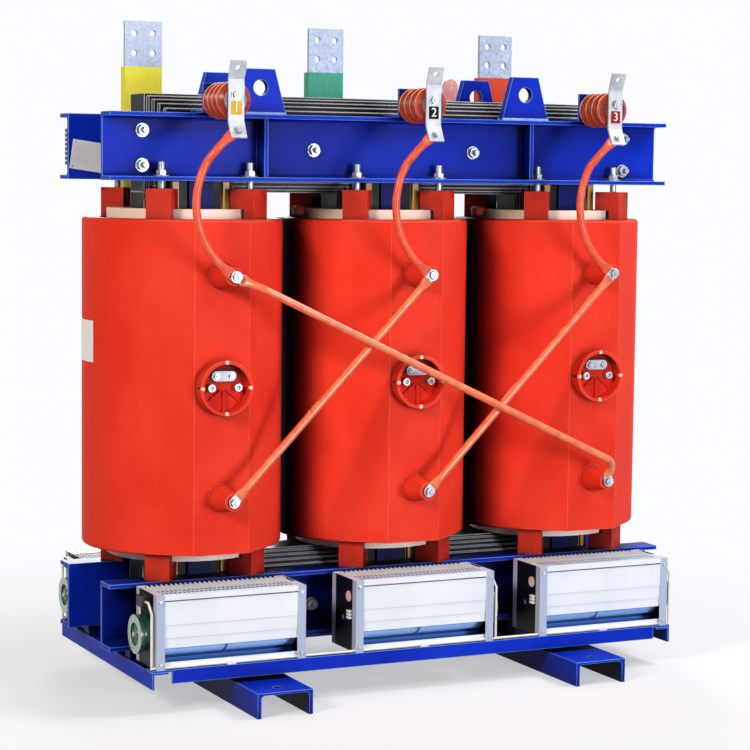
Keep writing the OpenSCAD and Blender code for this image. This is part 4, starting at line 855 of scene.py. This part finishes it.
# Outlet grilles: a zinc strip pierced with two rows of slots lies along the top of each fan over the outlet,
# whose dark is a painted shade on the casing's top. It is drawn as three rails with a row of bars across them.
bar_tree, bar_keys, given = with_inputs("row of bars", (("Spots", "Geometry"), ("Bar Size", "Vector"),
                                                        ("Finish", "Material")), "Bars")
bar = add(bar_tree, "GeometryNodeMeshCube", {"Size": given["Bar Size"]})
planted(bar_tree, given, bar.outputs["Mesh"], "Bars")
pierced_zinc = surface("pierced zinc strip", "#D0E0F6", "#E2EFFF", patch=40, rough=(0.36, 0.5), grain=1.2,
                       depth=0.02, edge=0.3, sockets={"Metallic": 0.1})[0]
bar_w, bar_h, rail_w = 0.0048, 0.0009, 0.0042
span, grille_w, grille_z = 2 * (fan_half - post_w), grille_end - grille_start, fan_high.z + bar_h / 2
for side, front in (("front", -fan_front), ("rear", fan_front)):
    inward = -math.copysign(1, front)
    rails = [(x, front + inward * (grille_start + grille_w * k / 2), grille_z)
             for x in phases for k in range(3)]
    cross = [(x - span / 2 + span * (i + 0.5) / grille_bars,
              front + inward * (grille_start + grille_end) / 2, grille_z)
             for x in phases for i in range(grille_bars)]
    rows = [grown(bar_tree, places, {bar_keys["Bar Size"]: bar_size, bar_keys["Finish"]: pierced_zinc})
            for places, bar_size in ((rails, (span, rail_w, bar_h)), (cross, (bar_w, grille_w, 0.9 * bar_h)))]
    piece("outlet_grilles_" + side, joined(rows), "galvanised_sheet", pierced_zinc)

# Fan end fittings: a pale moulded plug and a white nylon cable grip with three ribs, pressed into the
# end plate away from every motor.
plug_plastic = surface("pale plug", "#E5B9BC", "#F6DADA", patch=10, rough=(0.4, 0.5), grain=1.0,
                       depth=0.03, edge=0.8)[0]
grip_plastic = surface("white nylon", "#E9E9EC", "#FBFBFD", patch=10, rough=(0.35, 0.45), grain=1.0,
                       depth=0.03, edge=0.6)[0]
ends = [(-fan_front, 1, (-pitch,)), (-fan_front, -1, (0.0, pitch)), (fan_front, 1, phases)]
plug_profile = [(0.0, 0.003), (0.0105, 0.003), (0.0125, 0.0022), (0.0135, 0.0), (0.0, 0.0)]
plug_in, plug_z = 0.042, fan_low.z + 0.132
rib_size, rib_edge, rib_in, rib_z, rib_pitch = (0.009, 0.016, 0.006), 0.0015, 0.030, fan_low.z + 0.082, 0.008
for i, (front, way, places) in enumerate(ends):
    inward = -math.copysign(1, front)
    turned("fan_plugs_%d" % (i + 1), [(x + way * fan_half, front + inward * plug_in, plug_z) for x in places],
           (way, 0, 0), plug_profile, "white_pvc", plug_plastic)
    ribs = [slab(rib_size, Matrix.Translation((x + way * (fan_half + rib_size[0] / 2), front + inward * rib_in,
                                               rib_z + rib_pitch * k)), rib_edge)
            for x in places for k in range(3)]
    piece("fan_cable_grips_%d" % (i + 1), joined(ribs), "white_pvc", grip_plastic)

# Fan motors: cast shells in green enamel, flanged to the fans' end plates, with a machined ring and a
# turned hub at the outer end.
motor_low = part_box("fan_motors")[0]
motor_r, ring_t, hub_sunk = 0.046, 0.001, 0.005
motor_y, motor_z = -(motor_low.y + motor_r), (motor_low.z + motor_r)
motor_end = fan_half + (-pitch - fan_half - motor_low.x)
# The enamel's paler edges are a painted highlight.
green_enamel, tree, shader, where = surface(
    "green enamel", "#0E4634", "#1B6652", patch=30, rough=(0.28, 0.38), grain=3.0, depth=0.04, edge=1.4,
    sockets={"Coat Weight": 0.2}, edge_tint="#6FA593")
place, across = by_phase(tree, where)
ring = add(tree, "ShaderNodeMath", {0: across, 1: motor_end - ring_t}, operation="GREATER_THAN").outputs[0]
overpaint(tree, shader, ring, "#B4C8C0")
paint_node(["fan_motors"], green_enamel)
hub_profile = [(0.0, 0.009), (0.005, 0.009), (0.006, 0.008), (0.006, 0.004), (0.014, 0.003), (0.016, 0.0),
               (0.0, 0.0)]
hub_out = motor_end - hub_sunk
left_hubs = ((-pitch, -motor_y), (-pitch, motor_y), (0.0, motor_y), (pitch, motor_y))
turned("motor_hubs_left", [(x - hub_out, y, motor_z) for x, y in left_hubs], (-1, 0, 0), hub_profile,
       "green_enamel", green_enamel)
turned("motor_hubs_right", [(x + hub_out, -motor_y, motor_z) for x in phases[1:]], (1, 0, 0), hub_profile,
       "green_enamel", green_enamel)

# Fan rotors: rows of bent blades of thin aluminium sheet between discs, pressed on to a shaft. The sheet
# has a light blue anodised skin that breaks up the light from blade to blade.
rotor_aluminium = surface("anodised rotor sheet", "#4C8AD8", "#A4CAF4", patch=2.5, rough=(0.4, 0.55),
                          grain=0.8, depth=0.05, edge=0.4, sockets={"Metallic": 0.1})[0]
paint_node(["rotor_" + side + "_" + phase for side in ("front", "rear") for phase in "abc"], rotor_aluminium)

# Fan cables: round cable in a white extruded sheath, clipped along the rails and led up to the terminal
# boxes, with a short lead down to every motor.
white_pvc = surface("white cable sheath", "#E9E4D2", "#FAF7EC", patch=20, rough=(0.35, 0.45), grain=2.0,
                    depth=0.03, edge=0.5, sockets={"IOR": 1.53})[0]
paint_node(["fan_cable_front", "fan_cable_rear"], white_pvc)
